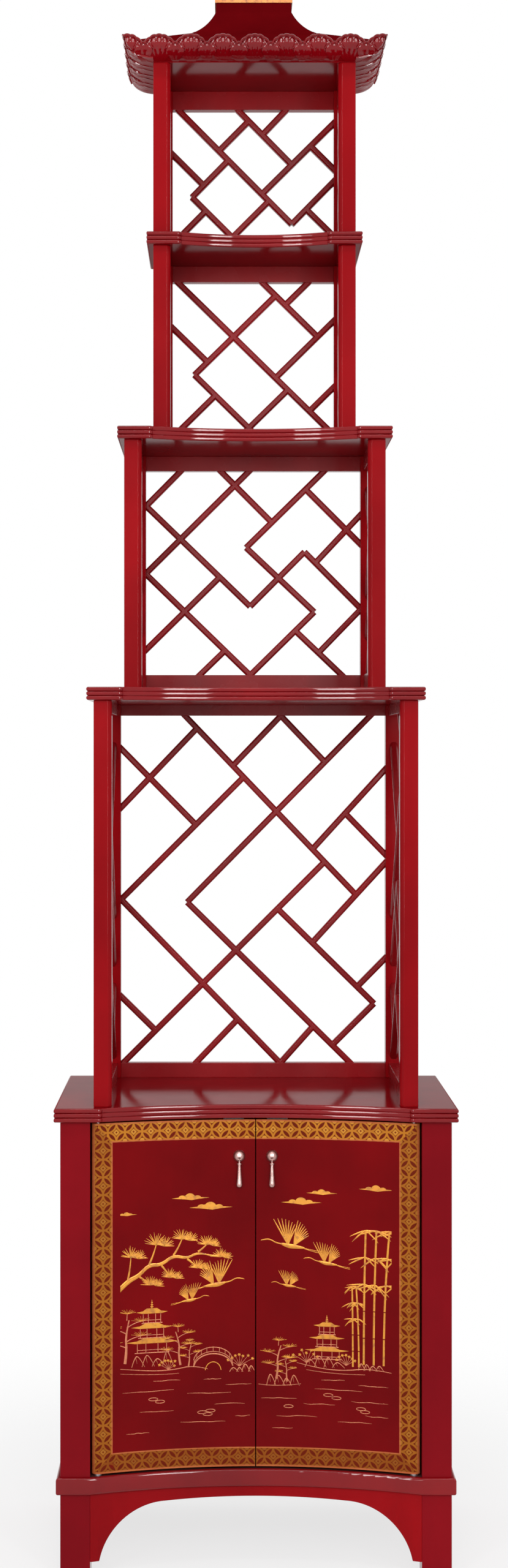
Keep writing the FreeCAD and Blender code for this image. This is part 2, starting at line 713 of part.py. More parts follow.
def fret_panel(width, height, low_rail, top_rail, shares):
    # A glued-up fretwork panel: two rails and bevelled bars, its lower left corner at zero
    width, height = width.value, height.value
    low, high = low_rail.value, height - top_rail.value
    bar, bevel = s.fret_bar.value / 2, s.fret_bevel.value
    depth, thick = s.fret_depth.value / 2, s.rail_thick.value
    section = [(-bar, bevel - depth), (bevel - bar, -depth), (bar - bevel, -depth),
               (bar, bevel - depth), (bar, depth - bevel), (bar - bevel, depth),
               (bevel - bar, depth), (-bar, depth - bevel)]
    bars = []
    for u1, v1, u2, v2 in shares:
        start = FreeCAD.Vector(u1 * width, 0, low + v1 * (high - low))
        end = FreeCAD.Vector(u2 * width, 0, low + v2 * (high - low))
        along = (end - start).normalize()
        if {u1, v1} & {0, 1}:
            start -= along * s.fret_bar.value
        if {u2, v2} & {0, 1}:
            end += along * s.fret_bar.value
        across = FreeCAD.Vector(-along.z, 0, along.x)
        loop = [start + across * out + FreeCAD.Vector(0, back_off, 0)
                for out, back_off in section]
        face = Part.Face(Part.makePolygon(loop + loop[:1]))
        bars.append(face.extrude(end - start))
    opening = Part.makeBox(width, 2 * thick, high - low, FreeCAD.Vector(0, -thick, low))
    lattice = bars[0].multiFuse(bars[1:]).common(opening)
    rails = [Part.makeBox(width, thick, low, FreeCAD.Vector(0, -thick / 2, 0)),
             Part.makeBox(width, thick, height - high, FreeCAD.Vector(0, -thick / 2, high))]
    return lattice.multiFuse(rails).removeSplitter()


def keep_panel(label, shape, x, y, z, angle=0):
    panel = shaped(label, shape)
    panel.Placement = FreeCAD.Placement(
        FreeCAD.Vector(*[sized(size).value for size in (x, y, z)]),
        FreeCAD.Rotation(FreeCAD.Vector(0, 0, 1), angle))
    keep(panel, label)


tier_shares = (
    (tier1_back_shares, tier1_side_shares), (tier2_back_shares, tier2_side_shares),
    (tier3_back_shares, tier3_side_shares), (tier4_back_shares, tier4_side_shares),
)
floor_level, width, depth = s.cabinet_height, s.top_width, s.top_depth
for number, (back_shares, side_shares) in enumerate(tier_shares, 1):
    tier = f"tier{number}"
    width = width - 2 * sizes[f"{tier}_inset"]
    depth = depth - sizes[f"{tier}_setback"]
    height = sizes[f"{tier}_height"]
    low_rail, top_rail = sizes[f"{tier}_low_rail"], sizes[f"{tier}_top_rail"]
    half = width / 2
    inner = half - s.post_size
    front = back - depth
    for side, sign in SIDES:
        name = f"{tier}_front_post_{side}"
        keep(slab(name, [(sign * half, front), (sign * (inner + s.post_bead), front),
                         (sign * inner, front + s.post_bead),
                         (sign * inner, front + s.post_size),
                         (sign * half, front + s.post_size)], {}, height, z=floor_level), name)
    posts = [block(f"{tier}_back_post_{side}",
                   (-half if sign < 0 else inner, back - s.post_size, floor_level),
                   (s.post_size, s.post_size, height)) for side, sign in SIDES]
    keep(fused(f"{tier}_back_posts", posts), f"{tier}_back_posts")
    keep_panel(f"{tier}_back_fret",
               fret_panel(2 * inner, height, low_rail, top_rail, back_shares),
               -inner, back - s.post_size / 2, floor_level)
    for side, sign in SIDES:
        keep_panel(f"{tier}_side_fret_{side}",
                   fret_panel(depth - 2 * s.post_size, height, low_rail, top_rail,
                              side_shares),
                   sign * (half - s.post_size / 2), front + s.post_size, floor_level, 90)
    ceiling = floor_level + height
    if number < len(tier_shares):
        name = f"shelf_above_{tier}"
        keep(reeded_board(name, width + 2 * s.shelf_overhang, front - s.shelf_overhang,
                          s.shelf_ear, sizes[f"{tier}_hollow"], s.shelf_thick, ceiling), name)
        floor_level = ceiling + s.shelf_thick


# The roof over the top tier: soffit, lotus cornice, flared hipped roof and its cap

roof_low = ceiling + s.soffit_thick
keep(block("roof_soffit", (-half, front, ceiling), (width, depth, s.soffit_thick)),
     "roof_soffit")


def ellipse_arc(out, rise, low):
    # A quarter ellipse that leaves the wall level at height low and ends upright at (out, rise)
    major, minor = max(out, rise - low), min(out, rise - low)
    centre = FreeCAD.Vector(0, 0, rise)
    outward = FreeCAD.Vector(0, -1, 0)
    if out >= rise - low:
        ellipse = Part.Ellipse(centre + outward * major,
                               centre - FreeCAD.Vector(0, 0, minor), centre)
    else:
        ellipse = Part.Ellipse(centre - FreeCAD.Vector(0, 0, major),
                               centre + outward * minor, centre)
    ends = [ellipse.parameter(point) for point in
            (centre + outward * out, FreeCAD.Vector(0, 0, low))]
    arc = Part.ArcOfEllipse(ellipse, *ends)
    if arc.length() > out + rise:
        arc = Part.ArcOfEllipse(ellipse, *reversed(ends))
    return arc.toShape()


def section_face(arc, points):
    # A face bounded by the arc and by straight lines from its outer end through the points
    tip, root_point = arc.Vertexes[0].Point, arc.Vertexes[-1].Point
    if abs(tip.y) < abs(root_point.y):
        tip, root_point = root_point, tip
    corners = [tip] + [FreeCAD.Vector(0, -out, up) for out, up in points] + [root_point]
    lines = [Part.makeLine(first, second) for first, second in zip(corners, corners[1:])]
    return Part.Face(Part.Wire(Part.__sortEdges__([arc] + lines)))


def petal(out, rise, half_width, lobe):
    # One lotus petal at the origin, pointing to -Y: a gore of a bowl, trimmed to a round tip
    thick, hub = s.petal_thick.value, s.petal_hub.value
    outer, inner_arc = ellipse_arc(out, rise, 0), ellipse_arc(out - thick, rise, thick)
    ends = [FreeCAD.Vector(0, -out, rise), FreeCAD.Vector(0, thick - out, rise),
            FreeCAD.Vector(0, 0, thick), FreeCAD.Vector(0, 0, 0)]
    wire = Part.Wire(Part.__sortEdges__([outer, Part.makeLine(ends[0], ends[1]), inner_arc,
                                         Part.makeLine(ends[2], ends[3])]))
    spread = math.degrees(math.asin(half_width / (out + hub)))
    axis = FreeCAD.Vector(0, hub, 0)
    up = FreeCAD.Vector(0, 0, 1)
    face = Part.Face(wire)
    face.rotate(axis, up, -spread)
    gore = face.revolve(axis, up, 2 * spread)
    tip = Part.makeCylinder(lobe, 2 * out, FreeCAD.Vector(0, hub, rise - lobe),
                            FreeCAD.Vector(0, -1, 0))
    return gore.common(tip)


def run_of_petals(centres, gaps):
    # Petals at the centres along X with lower leaves at the gaps between them
    out, rise = s.cornice_out.value, s.cornice_rise.value
    half_width, lobe = s.petal_half.value, s.petal_lobe.value
    tall = petal(out, rise, half_width, lobe)
    leaf = petal(out - s.leaf_inset.value, rise - s.leaf_drop.value, half_width / 2,
                 lobe / 2)
    placed = []
    for form, places in ((tall, centres), (leaf, gaps)):
        for centre in places:
            one = form.copy()
            one.translate(FreeCAD.Vector(centre, 0, 0))
            placed.append(one)
    return placed


def spaced(first, last, count):
    return [first + (last - first) * index / (count - 1) for index in range(count)]


def between(places):
    return [(one + other) / 2 for one, other in zip(places, places[1:])]


core_out = s.cornice_out.value - s.core_inset.value
core_rise = s.cornice_rise.value - s.core_drop.value
seat, thick = s.cornice_seat.value, s.soffit_thick.value
core_face = section_face(ellipse_arc(core_out, core_rise, s.petal_start.value),
                         [(core_out - s.rim_width.value, core_rise), (seat, thick),
                          (0, thick)])
reach = s.cornice_out.value + s.overrun.value
half_run, run_depth = half.value, depth.value


def plan_prism(corners):
    face = Part.Face(Part.makePolygon(
        [FreeCAD.Vector(x, y, -reach) for x, y in corners + corners[:1]]))
    return face.extrude(FreeCAD.Vector(0, 0, 3 * reach))


def cornice_run(low, high, centres):
    # Core and petals of one length, which runs along X and faces -Y
    core = core_face.extrude(FreeCAD.Vector(high - low, 0, 0))
    core.translate(FreeCAD.Vector(low, 0, 0))
    return core, run_of_petals(centres, between(centres))


corner_petals = []
corner_out = s.cornice_out.value * math.sqrt(2) - s.overrun.value
for side, sign in SIDES:
    corner = petal(corner_out, s.cornice_rise.value,
                   s.petal_half.value * corner_petal_share, s.petal_lobe.value)
    corner.rotate(FreeCAD.Vector(0, 0, 0), FreeCAD.Vector(0, 0, 1), sign * 45)
    corner.translate(FreeCAD.Vector(sign * half_run, 0, 0))
    corner_petals.append(corner)
front_centres = spaced(s.petal_end.value - half_run, half_run - s.petal_end.value,
                       FRONT_PETALS)
core, petals = cornice_run(-half_run - reach, half_run + reach, front_centres)
mitre = plan_prism([(-half_run, 0), (half_run, 0), (half_run + reach, -reach),
                    (-half_run - reach, -reach)])
inner_block = plan_prism([(-half_run, 0), (half_run, 0), (half_run, run_depth),
                          (-half_run, run_depth)])
core = core.common(mitre)
lengths = [core.multiFuse(petals + corner_petals).cut(inner_block).removeSplitter()]
side_centres = spaced(s.petal_end.value, run_depth - s.petal_half.value - s.overrun.value,
                      SIDE_PETALS)
for side, sign in SIDES:
    core, petals = cornice_run(-reach, run_depth, side_centres)
    run = core.multiFuse(petals)
    if sign < 0:
        run = run.mirror(FreeCAD.Vector(0, 0, 0), FreeCAD.Vector(1, 0, 0))
    run.rotate(FreeCAD.Vector(0, 0, 0), FreeCAD.Vector(0, 0, 1), sign * 90)
    run.translate(FreeCAD.Vector(sign * half_run, 0, 0))
    keeper = plan_prism([(sign * half_run, 0), (sign * (half_run + reach), -reach),
                         (sign * (half_run + reach), run_depth),
                         (sign * half_run, run_depth)])
    lengths.append(run.common(keeper).cut(lengths[0]).removeSplitter())
keep_panel("cornice", Part.makeCompound([solid for shape in lengths
                                         for solid in shape.Solids]), 0, front, ceiling)

# The hipped roof is where a front profile and a side profile, each run straight, meet
neck_half = s.neck_width / 2
neck_front = front + half - neck_half
neck_foot = s.roof_height - s.neck_rise
shoulder = neck_foot - s.flare_drop
lengthwise = new_body("roof_side_profile", 0, 0, roof_low)
sketch = new_sketch(lengthwise, "YZ_Plane")
outline(sketch, [(front - s.cornice_seat, 0), (front - s.cornice_seat, s.roof_edge),
                 (neck_front - s.flare_out, shoulder), (neck_front, neck_foot),
                 (neck_front, s.roof_height), (back, s.roof_height), (back, 0)],
        {2: (s.flare_radius, True)})
pad(lengthwise, sketch, 2 * (half + s.cornice_seat + s.overrun), middle=True)
crosswise = new_body("roof_front_profile", 0, 0, roof_low)
sketch = new_sketch(crosswise, "XZ_Plane")
eave_half = half + s.cornice_seat
outline(sketch, [(-eave_half, 0), (-eave_half, s.roof_edge),
                 (-neck_half - s.flare_out, shoulder), (-neck_half, neck_foot),
                 (-neck_half, s.roof_height), (neck_half, s.roof_height),
                 (neck_half, neck_foot), (neck_half + s.flare_out, shoulder),
                 (eave_half, s.roof_edge), (eave_half, 0)],
        {2: (s.flare_radius, True), 6: (s.flare_radius, True)})
pad(crosswise, sketch, s.top_depth + 2 * (s.overrun + s.cornice_seat), middle=True)
roof = doc.addObject("Part::Common", "roof")
roof.Base = lengthwise
roof.Tool = crosswise
keep(roof, "roof")

neck_top = roof_low + s.roof_height
gilt_front = neck_front - s.gilt_out
gilt = block("gilt_neck", (-neck_half - s.gilt_out, gilt_front, neck_top),
             (s.neck_width + 2 * s.gilt_out, back - gilt_front, s.gilt_height))
cap_half = neck_half + s.cap_out
cap_front = neck_front - s.cap_out
cap = slab("cap", [(-cap_half, cap_front), (cap_half, cap_front), (cap_half, back),
                   (-cap_half, back)], {}, s.cap_height, z=neck_top + s.gilt_height)
doc.recompute()
upper = [f"Edge{index + 1}" for index, edge in enumerate(cap.Shape.Edges)
         if level(edge) and not on_line(edge, back)
         and edge.CenterOfMass.z > cap.Shape.CenterOfMass.z]
pad_of_cap = cap.Tip
bevel = cap.newObject("PartDesign::Chamfer", "Bevel")
bevel.Base = (pad_of_cap, upper)
bind(bevel, "Size", s.cap_bevel)
keep(fused("roof_cap", [gilt, cap]), "roof_cap")


# Build, test and write every piece

doc.recompute()
for thing in doc.Objects:
    if "Invalid" in thing.State or "Error" in thing.State:
        raise ValueError(f"{thing.Label}: {thing.getStatusString()}")
os.makedirs("parts", exist_ok=True)
for piece in pieces:
    shape = piece.Shape
    if shape.isNull() or not shape.isValid():
        raise ValueError(f"{piece.Label}: no valid shape")
    shape.exportStep(f"parts/{piece.Label}.step")
print(len(pieces), "pieces,", sum(len(piece.Shape.Solids) for piece in pieces), "solids")
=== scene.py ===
import json
import random
from math import asin, cos, hypot, pi, radians, sin, sqrt

import bmesh
import bpy
from mathutils import Matrix, Vector


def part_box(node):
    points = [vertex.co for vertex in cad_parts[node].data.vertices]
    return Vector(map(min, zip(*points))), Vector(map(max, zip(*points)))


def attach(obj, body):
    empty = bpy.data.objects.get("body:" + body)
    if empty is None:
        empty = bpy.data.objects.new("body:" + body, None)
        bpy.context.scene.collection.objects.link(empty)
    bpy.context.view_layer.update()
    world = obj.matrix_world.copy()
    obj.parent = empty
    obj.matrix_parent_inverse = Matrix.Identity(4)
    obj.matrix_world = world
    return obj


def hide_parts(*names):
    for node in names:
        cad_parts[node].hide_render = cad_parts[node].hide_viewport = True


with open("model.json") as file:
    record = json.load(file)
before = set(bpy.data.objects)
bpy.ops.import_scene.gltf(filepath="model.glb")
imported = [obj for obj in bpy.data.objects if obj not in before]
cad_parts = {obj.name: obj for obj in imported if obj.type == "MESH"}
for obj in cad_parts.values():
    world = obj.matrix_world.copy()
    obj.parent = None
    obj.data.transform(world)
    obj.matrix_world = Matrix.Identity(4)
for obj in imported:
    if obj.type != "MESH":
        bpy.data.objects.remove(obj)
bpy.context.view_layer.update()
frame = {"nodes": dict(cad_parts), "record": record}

scene = bpy.context.scene
scene.view_settings.view_transform = "Standard"
nodes = frame["nodes"]
record = frame["record"]
bodyOf = {node: body for body, members in record["behaviour"]["bodies"].items()
          for node in members}
slotOf = {entry["node"]: entry["material_slot"] for entry in record["subparts"]}
sides = (("left", -1), ("right", 1))
print("frame loaded:", len(nodes), "nodes")


# shader maths written as plain expressions: each operator adds its node

class Sock:
    def __init__(self, maker, link):
        self.maker, self.link = maker, link

    def maths(self, operation, *others):
        return self.maker.node("Math", {"operation": operation}, self, *others)

    def __add__(self, other):
        return self.maths("ADD", other)

    def __mul__(self, other):
        return self.maths("MULTIPLY", other)

    def __sub__(self, other):
        return self.maths("SUBTRACT", other)

    def __rsub__(self, other):
        return self.maker.node("Math", {"operation": "SUBTRACT"}, other, self)

    __radd__, __rmul__ = __add__, __mul__

    def __abs__(self):
        return self.maths("ABSOLUTE")

    def least(self, other):
        return self.maths("MINIMUM", other)

    def most(self, other):
        return self.maths("MAXIMUM", other)

    def below(self, other, soft=0.0002):  # 1 where this is under the other, with a soft edge
        return self.maker.node("MapRange", {}, self - other, soft, -soft)

    def within(self, low, high):
        return self.below(high) * (1 - self.below(low))


class Maker:
    def __init__(self, tree):
        self.tree = tree

    def node(self, kind, settings, *values, out=0, **named):
        made = self.tree.nodes.new("ShaderNode" + kind)
        for key, value in settings.items():
            if key == "ramp":
                for stop, (place, colour) in zip(made.color_ramp.elements, value):
                    stop.position, stop.color = place, colour
            else:
                setattr(made, key, value)
        for socket, value in [*enumerate(values), *named.items()]:
            self.feed(made.inputs[socket], value)
        return Sock(self, made.outputs[out])

    def feed(self, target, value):
        if isinstance(value, Sock):
            self.tree.links.new(value.link, target)
        elif value is not None:
            target.default_value = value

    def mix(self, share, first, second):
        made = self.tree.nodes.new("ShaderNodeMix")
        made.data_type = "RGBA"
        for index, value in ((0, share), (6, first), (7, second)):
            self.feed(made.inputs[index], value)
        return Sock(self, made.outputs[2])

    def between(self, share, dark, light):
        return self.mix(share, tone(*dark), tone(*light))

    def length(self, vector):
        return self.node("VectorMath", {"operation": "LENGTH"}, vector, out="Value")

    def reach(self, x, y):
        return self.length(self.node("CombineXYZ", {}, x, y))

    def rising(self, value, low, high):  # from 0 at low to 1 at high
        stops = ((low, (0, 0, 0, 1)), (high, (1, 1, 1, 1)))
        return self.node("ValToRGB", {"ramp": stops}, value)

    def seen(self):  # 1 for the camera, and for what it sees by reflection or through glass
        rays = self.node("LightPath", {}).link.node.outputs
        camera, glossy, through = [Sock(self, rays[name]) for name in
                                   ("Is Camera Ray", "Is Glossy Ray", "Is Transmission Ray")]
        return camera.most(glossy).most(through)


class Finish(Maker):
    def __init__(self, name, **plain):
        self.material = bpy.data.materials.new(name)
        self.material.use_nodes = True
        super().__init__(self.material.node_tree)
        self.shader = self.tree.nodes["Principled BSDF"]
        for socket, value in plain.items():
            self.shader.inputs[socket.replace("_", " ")].default_value = value
        self.place = self.node("TexCoord", {}, out="Object")

    def put(self, socket, value):
        self.feed(self.shader.inputs[socket], value)

    def noise(self, scale, detail=3, stretch=None, distort=0):
        place = self.place
        if stretch:
            place = self.node("Mapping", {}, place, Scale=stretch)
        return self.node("TexNoise", {}, Vector=place, Scale=scale, Detail=detail,
                         Distortion=distort)

    def facing(self):
        return self.node("NewGeometry", {}, out="Normal")

    def edges(self, radius, gain=9):  # 1 at worn arrises, where a bevelled normal leaves the true
        bevel = self.node("Bevel", {"samples": 6}, radius)
        cosine = self.node("VectorMath", {"operation": "DOT_PRODUCT"}, bevel,
                           self.facing(), out="Value")
        return bevel, (1 - cosine) * gain

    def spots(self, scale, detail, low, high):
        return self.rising(self.noise(scale, detail), low, high)

    def bump(self, scale, detail, strength, deep, normal=None, stretch=None):
        height = self.noise(scale, detail, stretch)
        self.put("Normal", self.node("Bump", {}, Strength=strength, Distance=deep,
                                     Height=height, Normal=normal))


def tone(red, green, blue):  # a colour as it is seen on screen, given in 0 to 255
    return [((c / 255 + 0.055) / 1.055) ** 2.4 if c > 10 else c / 3294.6
            for c in (red, green, blue)] + [1]


# the red lacquer. Spots are given by scale, detail, and where they start and are full;
# a bump by scale, detail, strength and depth

lacquerLook = dict(
    roughness=0.11, coatRoughness=0.05, cloud=(5, 4, 0.35, 0.68), grainScale=60,
    grainStretch=(1, 1, 0.12), grainShare=0.16, grainDark=0.6, edgeRadius=0.0012,
    rub=(38, 5, 0.52, 0.66), rubRough=0.2, smearScale=26, smearRough=0.10, levelFrom=0.93,
    levelSoft=0.04, ripple=(34, 2, 0.2, 0.0001))


def lacquer(name, light, dark, worn, wear=0.35, specular=0.06, coat=0.0, satin=0.0,
            extra=None):
    # coat is the thick polish that pools on the mouldings; it thins out on level faces
    look = lacquerLook
    finish = Finish(name, Specular_IOR_Level=specular, Coat_Roughness=look["coatRoughness"])
    grain = finish.noise(look["grainScale"], 3, look["grainStretch"])
    base = finish.between(finish.spots(*look["cloud"]), dark, light)
    base = finish.mix(grain * look["grainShare"], base,
                      tone(*[c * look["grainDark"] for c in dark]))
    bevel, edge = finish.edges(look["edgeRadius"])
    # rubbed arrises take the worn tone: real wear, and on the frets, whose worn tone is paler
    # than the lacquer, also a painted highlight along the bar edges
    rub = edge * finish.spots(*look["rub"])
    base = finish.mix((rub * wear).least(1), base, tone(*worn))
    rough = (finish.noise(look["smearScale"], 4) * look["smearRough"]
             + (look["roughness"] - look["smearRough"] / 2 + satin))
    if extra:
        base, rough = extra(finish, base, rough)
    finish.put("Base Color", base)
    finish.put("Roughness", rough + rub * look["rubRough"])
    if coat:
        up = finish.node("SeparateXYZ", {}, finish.facing(), out=2)
        finish.put("Coat Weight", abs(up).below(look["levelFrom"], look["levelSoft"]) * coat)
    finish.bump(*look["ripple"], bevel if satin else None)
    return finish.material


frontArc = dict(radius=0.671102, centreY=-0.796102)  # the hollow of the doors, in plan
doorFace = dict(edge=0.2390, low=0.148, high=0.654)
# the side and bottom dimming values are painted shade on those runs of the border
borderLook = dict(
    wide=0.0285, lineWide=0.0026, innerLine=0.7, pitch=0.0256, ring=0.0128, ringLine=0.0027,
    diamond=0.0048, diamondSoft=0.0004, dot=0.0035, dotSoft=0.0003, heart=0.0016,
    gold=((122, 50, 16), (224, 146, 46)), ground=((96, 24, 8), (122, 38, 12)),
    coinTone=(226, 156, 60), heartTone=(120, 40, 10), line=((176, 84, 44), (216, 126, 76)),
    ringShare=0.9, coinShare=0.8, lineShare=0.85, cloudScale=22, cloudShare=0.7,
    cloudLeast=0.35, fineScale=420, sidePaintedShade=0.45, lowPaintedShade=0.7, worn=(55, 5, 0.63, 0.74),
    wornShare=0.55, hingeFrom=0.2, faceDeep=0.0006, hingeDeep=0.0089, metal=0.1, rough=0.16)


def paintedBorder(finish, base, rough):
    # the gilt border round the pair: a coin-and-diamond diaper between two fine lines
    face, look = doorFace, borderLook
    split = finish.node("SeparateXYZ", {}, finish.place).link.node.outputs
    x, y, z = [Sock(finish, output) for output in split]
    deep = y - frontArc["centreY"]
    along = abs(x.maths("ARCTAN2", deep)) * frontArc["radius"]
    fromSide, fromTop, fromLow = face["edge"] - along, face["high"] - z, z - face["low"]
    level = fromTop.least(fromLow)
    near = fromSide.least(level)
    isSide = fromSide.below(level)
    isLow = fromLow.below(fromSide.least(fromTop))
    run = z * isSide + along * (1 - isSide)
    across = near - look["wide"] / 2
    half = look["pitch"] / 2

    def cells(shift, offset):
        # a point's place in its cell of the pattern, and how far it is from the middle
        cell = (run + shift).maths("WRAP", half, -half)
        off = abs(across) - offset
        return cell, off, finish.reach(cell, off)

    cell, off, reach = cells(0.0, 0.0)
    outer = cells(half, half)[2]
    spread = abs(cell) + abs(off)
    rings = [abs(span - look["ring"]).below(look["ringLine"] / 2) for span in (reach, outer)]
    coins = (spread.below(look["diamond"], look["diamondSoft"])
             + outer.below(look["dot"], look["dotSoft"]))
    lines = near.below(look["lineWide"]) + near.within(
        look["wide"] - look["lineWide"] * look["innerLine"], look["wide"])
    cloud = finish.noise(look["cloudScale"], 4)
    # painted shade: the gold and its coins are painted darker on the side runs and darker still
    # on the bottom run
    paintedShadeFactor = 1 - isSide * look["sidePaintedShade"] - isLow * look["lowPaintedShade"]
    gold = finish.between((cloud * look["cloudShare"] + look["cloudLeast"]) * paintedShadeFactor,
                          *look["gold"])
    ground = finish.between(finish.noise(look["fineScale"], 2), *look["ground"])
    colour = finish.mix((rings[0] + rings[1]).least(1) * look["ringShare"], ground, gold)
    colour = finish.mix(coins.least(1) * look["coinShare"] * paintedShadeFactor, colour,
                        tone(*look["coinTone"]))
    colour = finish.mix(spread.below(look["heart"]), colour, tone(*look["heartTone"]))
    colour = finish.mix(lines.least(1) * look["lineShare"], colour,
                        finish.between(cloud, *look["line"]))
    worn = finish.spots(*look["worn"])
    # the paint is on the front, and goes round the hinge edge but not the meeting edge
    hinge = 1 - along.below(look["hingeFrom"])
    front = (finish.reach(x, deep) - frontArc["radius"]).below(
        hinge * look["hingeDeep"] + look["faceDeep"])
    inside = near.within(0.0, look["wide"]) * (1 - worn * look["wornShare"]) * front
    finish.put("Metallic", inside * look["metal"])
    return finish.mix(inside, base, colour), rough + inside * look["rough"]


lacquers = {
    "redLacquer": dict(light=(166, 14, 22), dark=(144, 10, 18), worn=(96, 22, 18)),
    "boardLacquer": dict(light=(150, 14, 22), dark=(124, 10, 18), worn=(92, 24, 20), wear=0.3,
        specular=0.006, coat=0.55),
    "petalLacquer": dict(light=(158, 8, 20), dark=(126, 4, 14), worn=(74, 8, 12), wear=0.5,
        specular=0.02, coat=0.65),
    # the roof and its cap take the red lacquer painted darker: painted shade on the roof slopes
    # and neck
    "roofLacquerPaintedShade": dict(light=(116, 8, 14), dark=(92, 5, 10), worn=(66, 14, 12), wear=0.4,
        specular=0.0),
    "soffitLacquer": dict(light=(150, 14, 22), dark=(124, 10, 18), worn=(92, 24, 20), wear=0.3,
        specular=0.03),
    "stileLacquer": dict(light=(148, 14, 26), dark=(130, 10, 22), worn=(88, 22, 18)),
    # the frets' worn tone is paler than their lacquer: partly real wear, partly a painted
    # highlight on the bar edges
    "fretLacquer": dict(light=(162, 18, 26), dark=(126, 11, 17), worn=(186, 64, 52), wear=0.5,
        specular=0.16, satin=0.16),
    "doorLacquer": dict(light=(136, 6, 12), dark=(112, 4, 9), worn=(78, 20, 14), wear=0.3,
        extra=paintedBorder)}


# gold paint, rubbed thin in places so that the red shows through

giltLook = dict(
    specular=0.4, thin=(150, 5, 0.5, 0.72), cloudScale=30, under=(128, 22, 22), roughScale=90,
    roughness=0.24, roughSpread=0.25, grain=(700, 3, 0.4, 0.0002))
gilts = {"goldPaint": ((228, 164, 56), (196, 118, 42)),
         "palePaint": ((216, 140, 96), (184, 96, 66), 0.3, 0.45),
         "giltNeck": ((206, 138, 70), (172, 100, 44), 0.35, 0.3)}


def gilding(name, light, dark, metal=0.45, through=0.35):
    look = giltLook
    finish = Finish(name, Specular_IOR_Level=look["specular"])
    thin = finish.spots(*look["thin"])
    base = finish.between(finish.noise(look["cloudScale"], 4), dark, light)
    finish.put("Base Color", finish.mix(thin * through, base, tone(*look["under"])))
    finish.put("Metallic", metal - thin * metal)
    finish.put("Roughness", finish.noise(look["roughScale"], 3) * look["roughSpread"]
               + look["roughness"])
    finish.bump(*look["grain"])
    return finish.material


metalLook = dict(
    edgeRadius=0.0005, edgeShare=0.6, cloudScale=160, roughSpread=0.2,
    stain=(420, 5, 0.45, 0.7), stainShare=0.3, grain=(900, 3, 0.2, 0.0001))
metals = {"agedBrass": ((210, 172, 166), (156, 118, 112), 0.2, (96, 60, 54)),
          "plainSteel": ((200, 200, 204), (150, 150, 156), 0.26, (70, 66, 64))}


def brushedMetal(name, light, dark, roughness, dirt):
    look = metalLook
    finish = Finish(name, Metallic=1.0)
    bevel, edge = finish.edges(look["edgeRadius"])
    cloud = finish.noise(look["cloudScale"], 4)
    base = finish.mix(finish.spots(*look["stain"]) * look["stainShare"],
                      finish.between(cloud, dark, light), tone(*dirt))
    finish.put("Base Color", finish.mix((edge * look["edgeShare"]).least(look["edgeShare"]),
                                        base, tone(*light)))
    finish.put("Roughness", cloud * look["roughSpread"] + roughness)
    finish.bump(*look["grain"], bevel)
    return finish.material


woodLook = dict(
    light=(86, 34, 30), dark=(54, 20, 20), specular=0.3, grainScale=26,
    grainStretch=(0.35, 3.2, 3.2), grainBend=0.6, grainSpan=(0.3, 0.7), pores=(240, 3),
    poreStretch=(0.12, 1, 1), poreShare=0.3, poreDark=0.5, roughness=0.42, roughSpread=0.2,
    poreStrength=0.35, poreDeep=0.0004)


def stainedWood(name):
    look = woodLook
    finish = Finish(name, Specular_IOR_Level=look["specular"])
    grain = finish.noise(look["grainScale"], 6, look["grainStretch"], look["grainBend"])
    pores = finish.noise(*look["pores"], look["poreStretch"])
    base = finish.between(finish.rising(grain, *look["grainSpan"]), look["dark"],
                          look["light"])
    finish.put("Base Color", finish.mix(pores * look["poreShare"], base,
                                        tone(*[c * look["poreDark"] for c in look["dark"]])))
    finish.put("Roughness", grain * look["roughSpread"] + look["roughness"])
    finish.bump(*look["pores"], look["poreStrength"], look["poreDeep"],
                stretch=look["poreStretch"])
    return finish.material


finishes = {name: lacquer(name, **values) for name, values in lacquers.items()}
finishes.update({name: gilding(name, *values) for name, values in gilts.items()})
finishes.update({name: brushedMetal(name, *values) for name, values in metals.items()})
finishes["insideWood"] = stainedWood("insideWood")

finishFor = {"door_": "doorLacquer", "leg_": "stileLacquer", "fret": "fretLacquer",
             "shelf_above": "boardLacquer", "cabinet_top": "boardLacquer",
             "band_": "boardLacquer", "soffit": "soffitLacquer", "cornice": "petalLacquer",
             "roof": "roofLacquerPaintedShade"}
finishOfSlot = {"red_lacquer": "redLacquer", "inside_wood": "insideWood",
                "brass": "agedBrass", "steel": "plainSteel"}


def finishOf(node):
    fitting = [name for key, name in finishFor.items() if key in node]
    return finishes[fitting[0] if fitting else finishOfSlot[slotOf[node]]]


for name, part in nodes.items():
    part.data.materials.clear()
    part.data.materials.append(finishOf(name))
print("finishes made:", len(finishes))


# what every piece uses

arris = dict(width=0.0009, fineWidth=0.0003, steps=2, sharpest=30, smooth=20)


def inScene(name, data):
    made = bpy.data.objects.new(name, data)
    scene.collection.objects.link(made)
    return made


def asMesh(bm, name):
    mesh = bpy.data.meshes.new(name)
    bm.to_mesh(mesh)
    bm.free()
    return mesh


def settle(name, bm, node, material=None, smooth=32, levelFlat=False, standsFor=True):
    # turns a bmesh into a finished piece that rides with the node's body and stands for it
    mesh = asMesh(bm, name)
    mesh.shade_smooth()
    mesh.set_sharp_from_angle(angle=radians(smooth))
    for face in mesh.polygons:
        if levelFlat and abs(face.normal.z) > 0.999:
            face.use_smooth = False
    mesh.materials.append(material or finishOf(node))
    piece = inScene(name, mesh)
    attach(piece, bodyOf[node])
    if standsFor:
        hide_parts(node)
    return piece


def dropDoubles(bm, distance=0.00002):
    bmesh.ops.remove_doubles(bm, verts=bm.verts, dist=distance)


def faceOut(bm):
    bmesh.ops.recalc_face_normals(bm, faces=bm.faces)


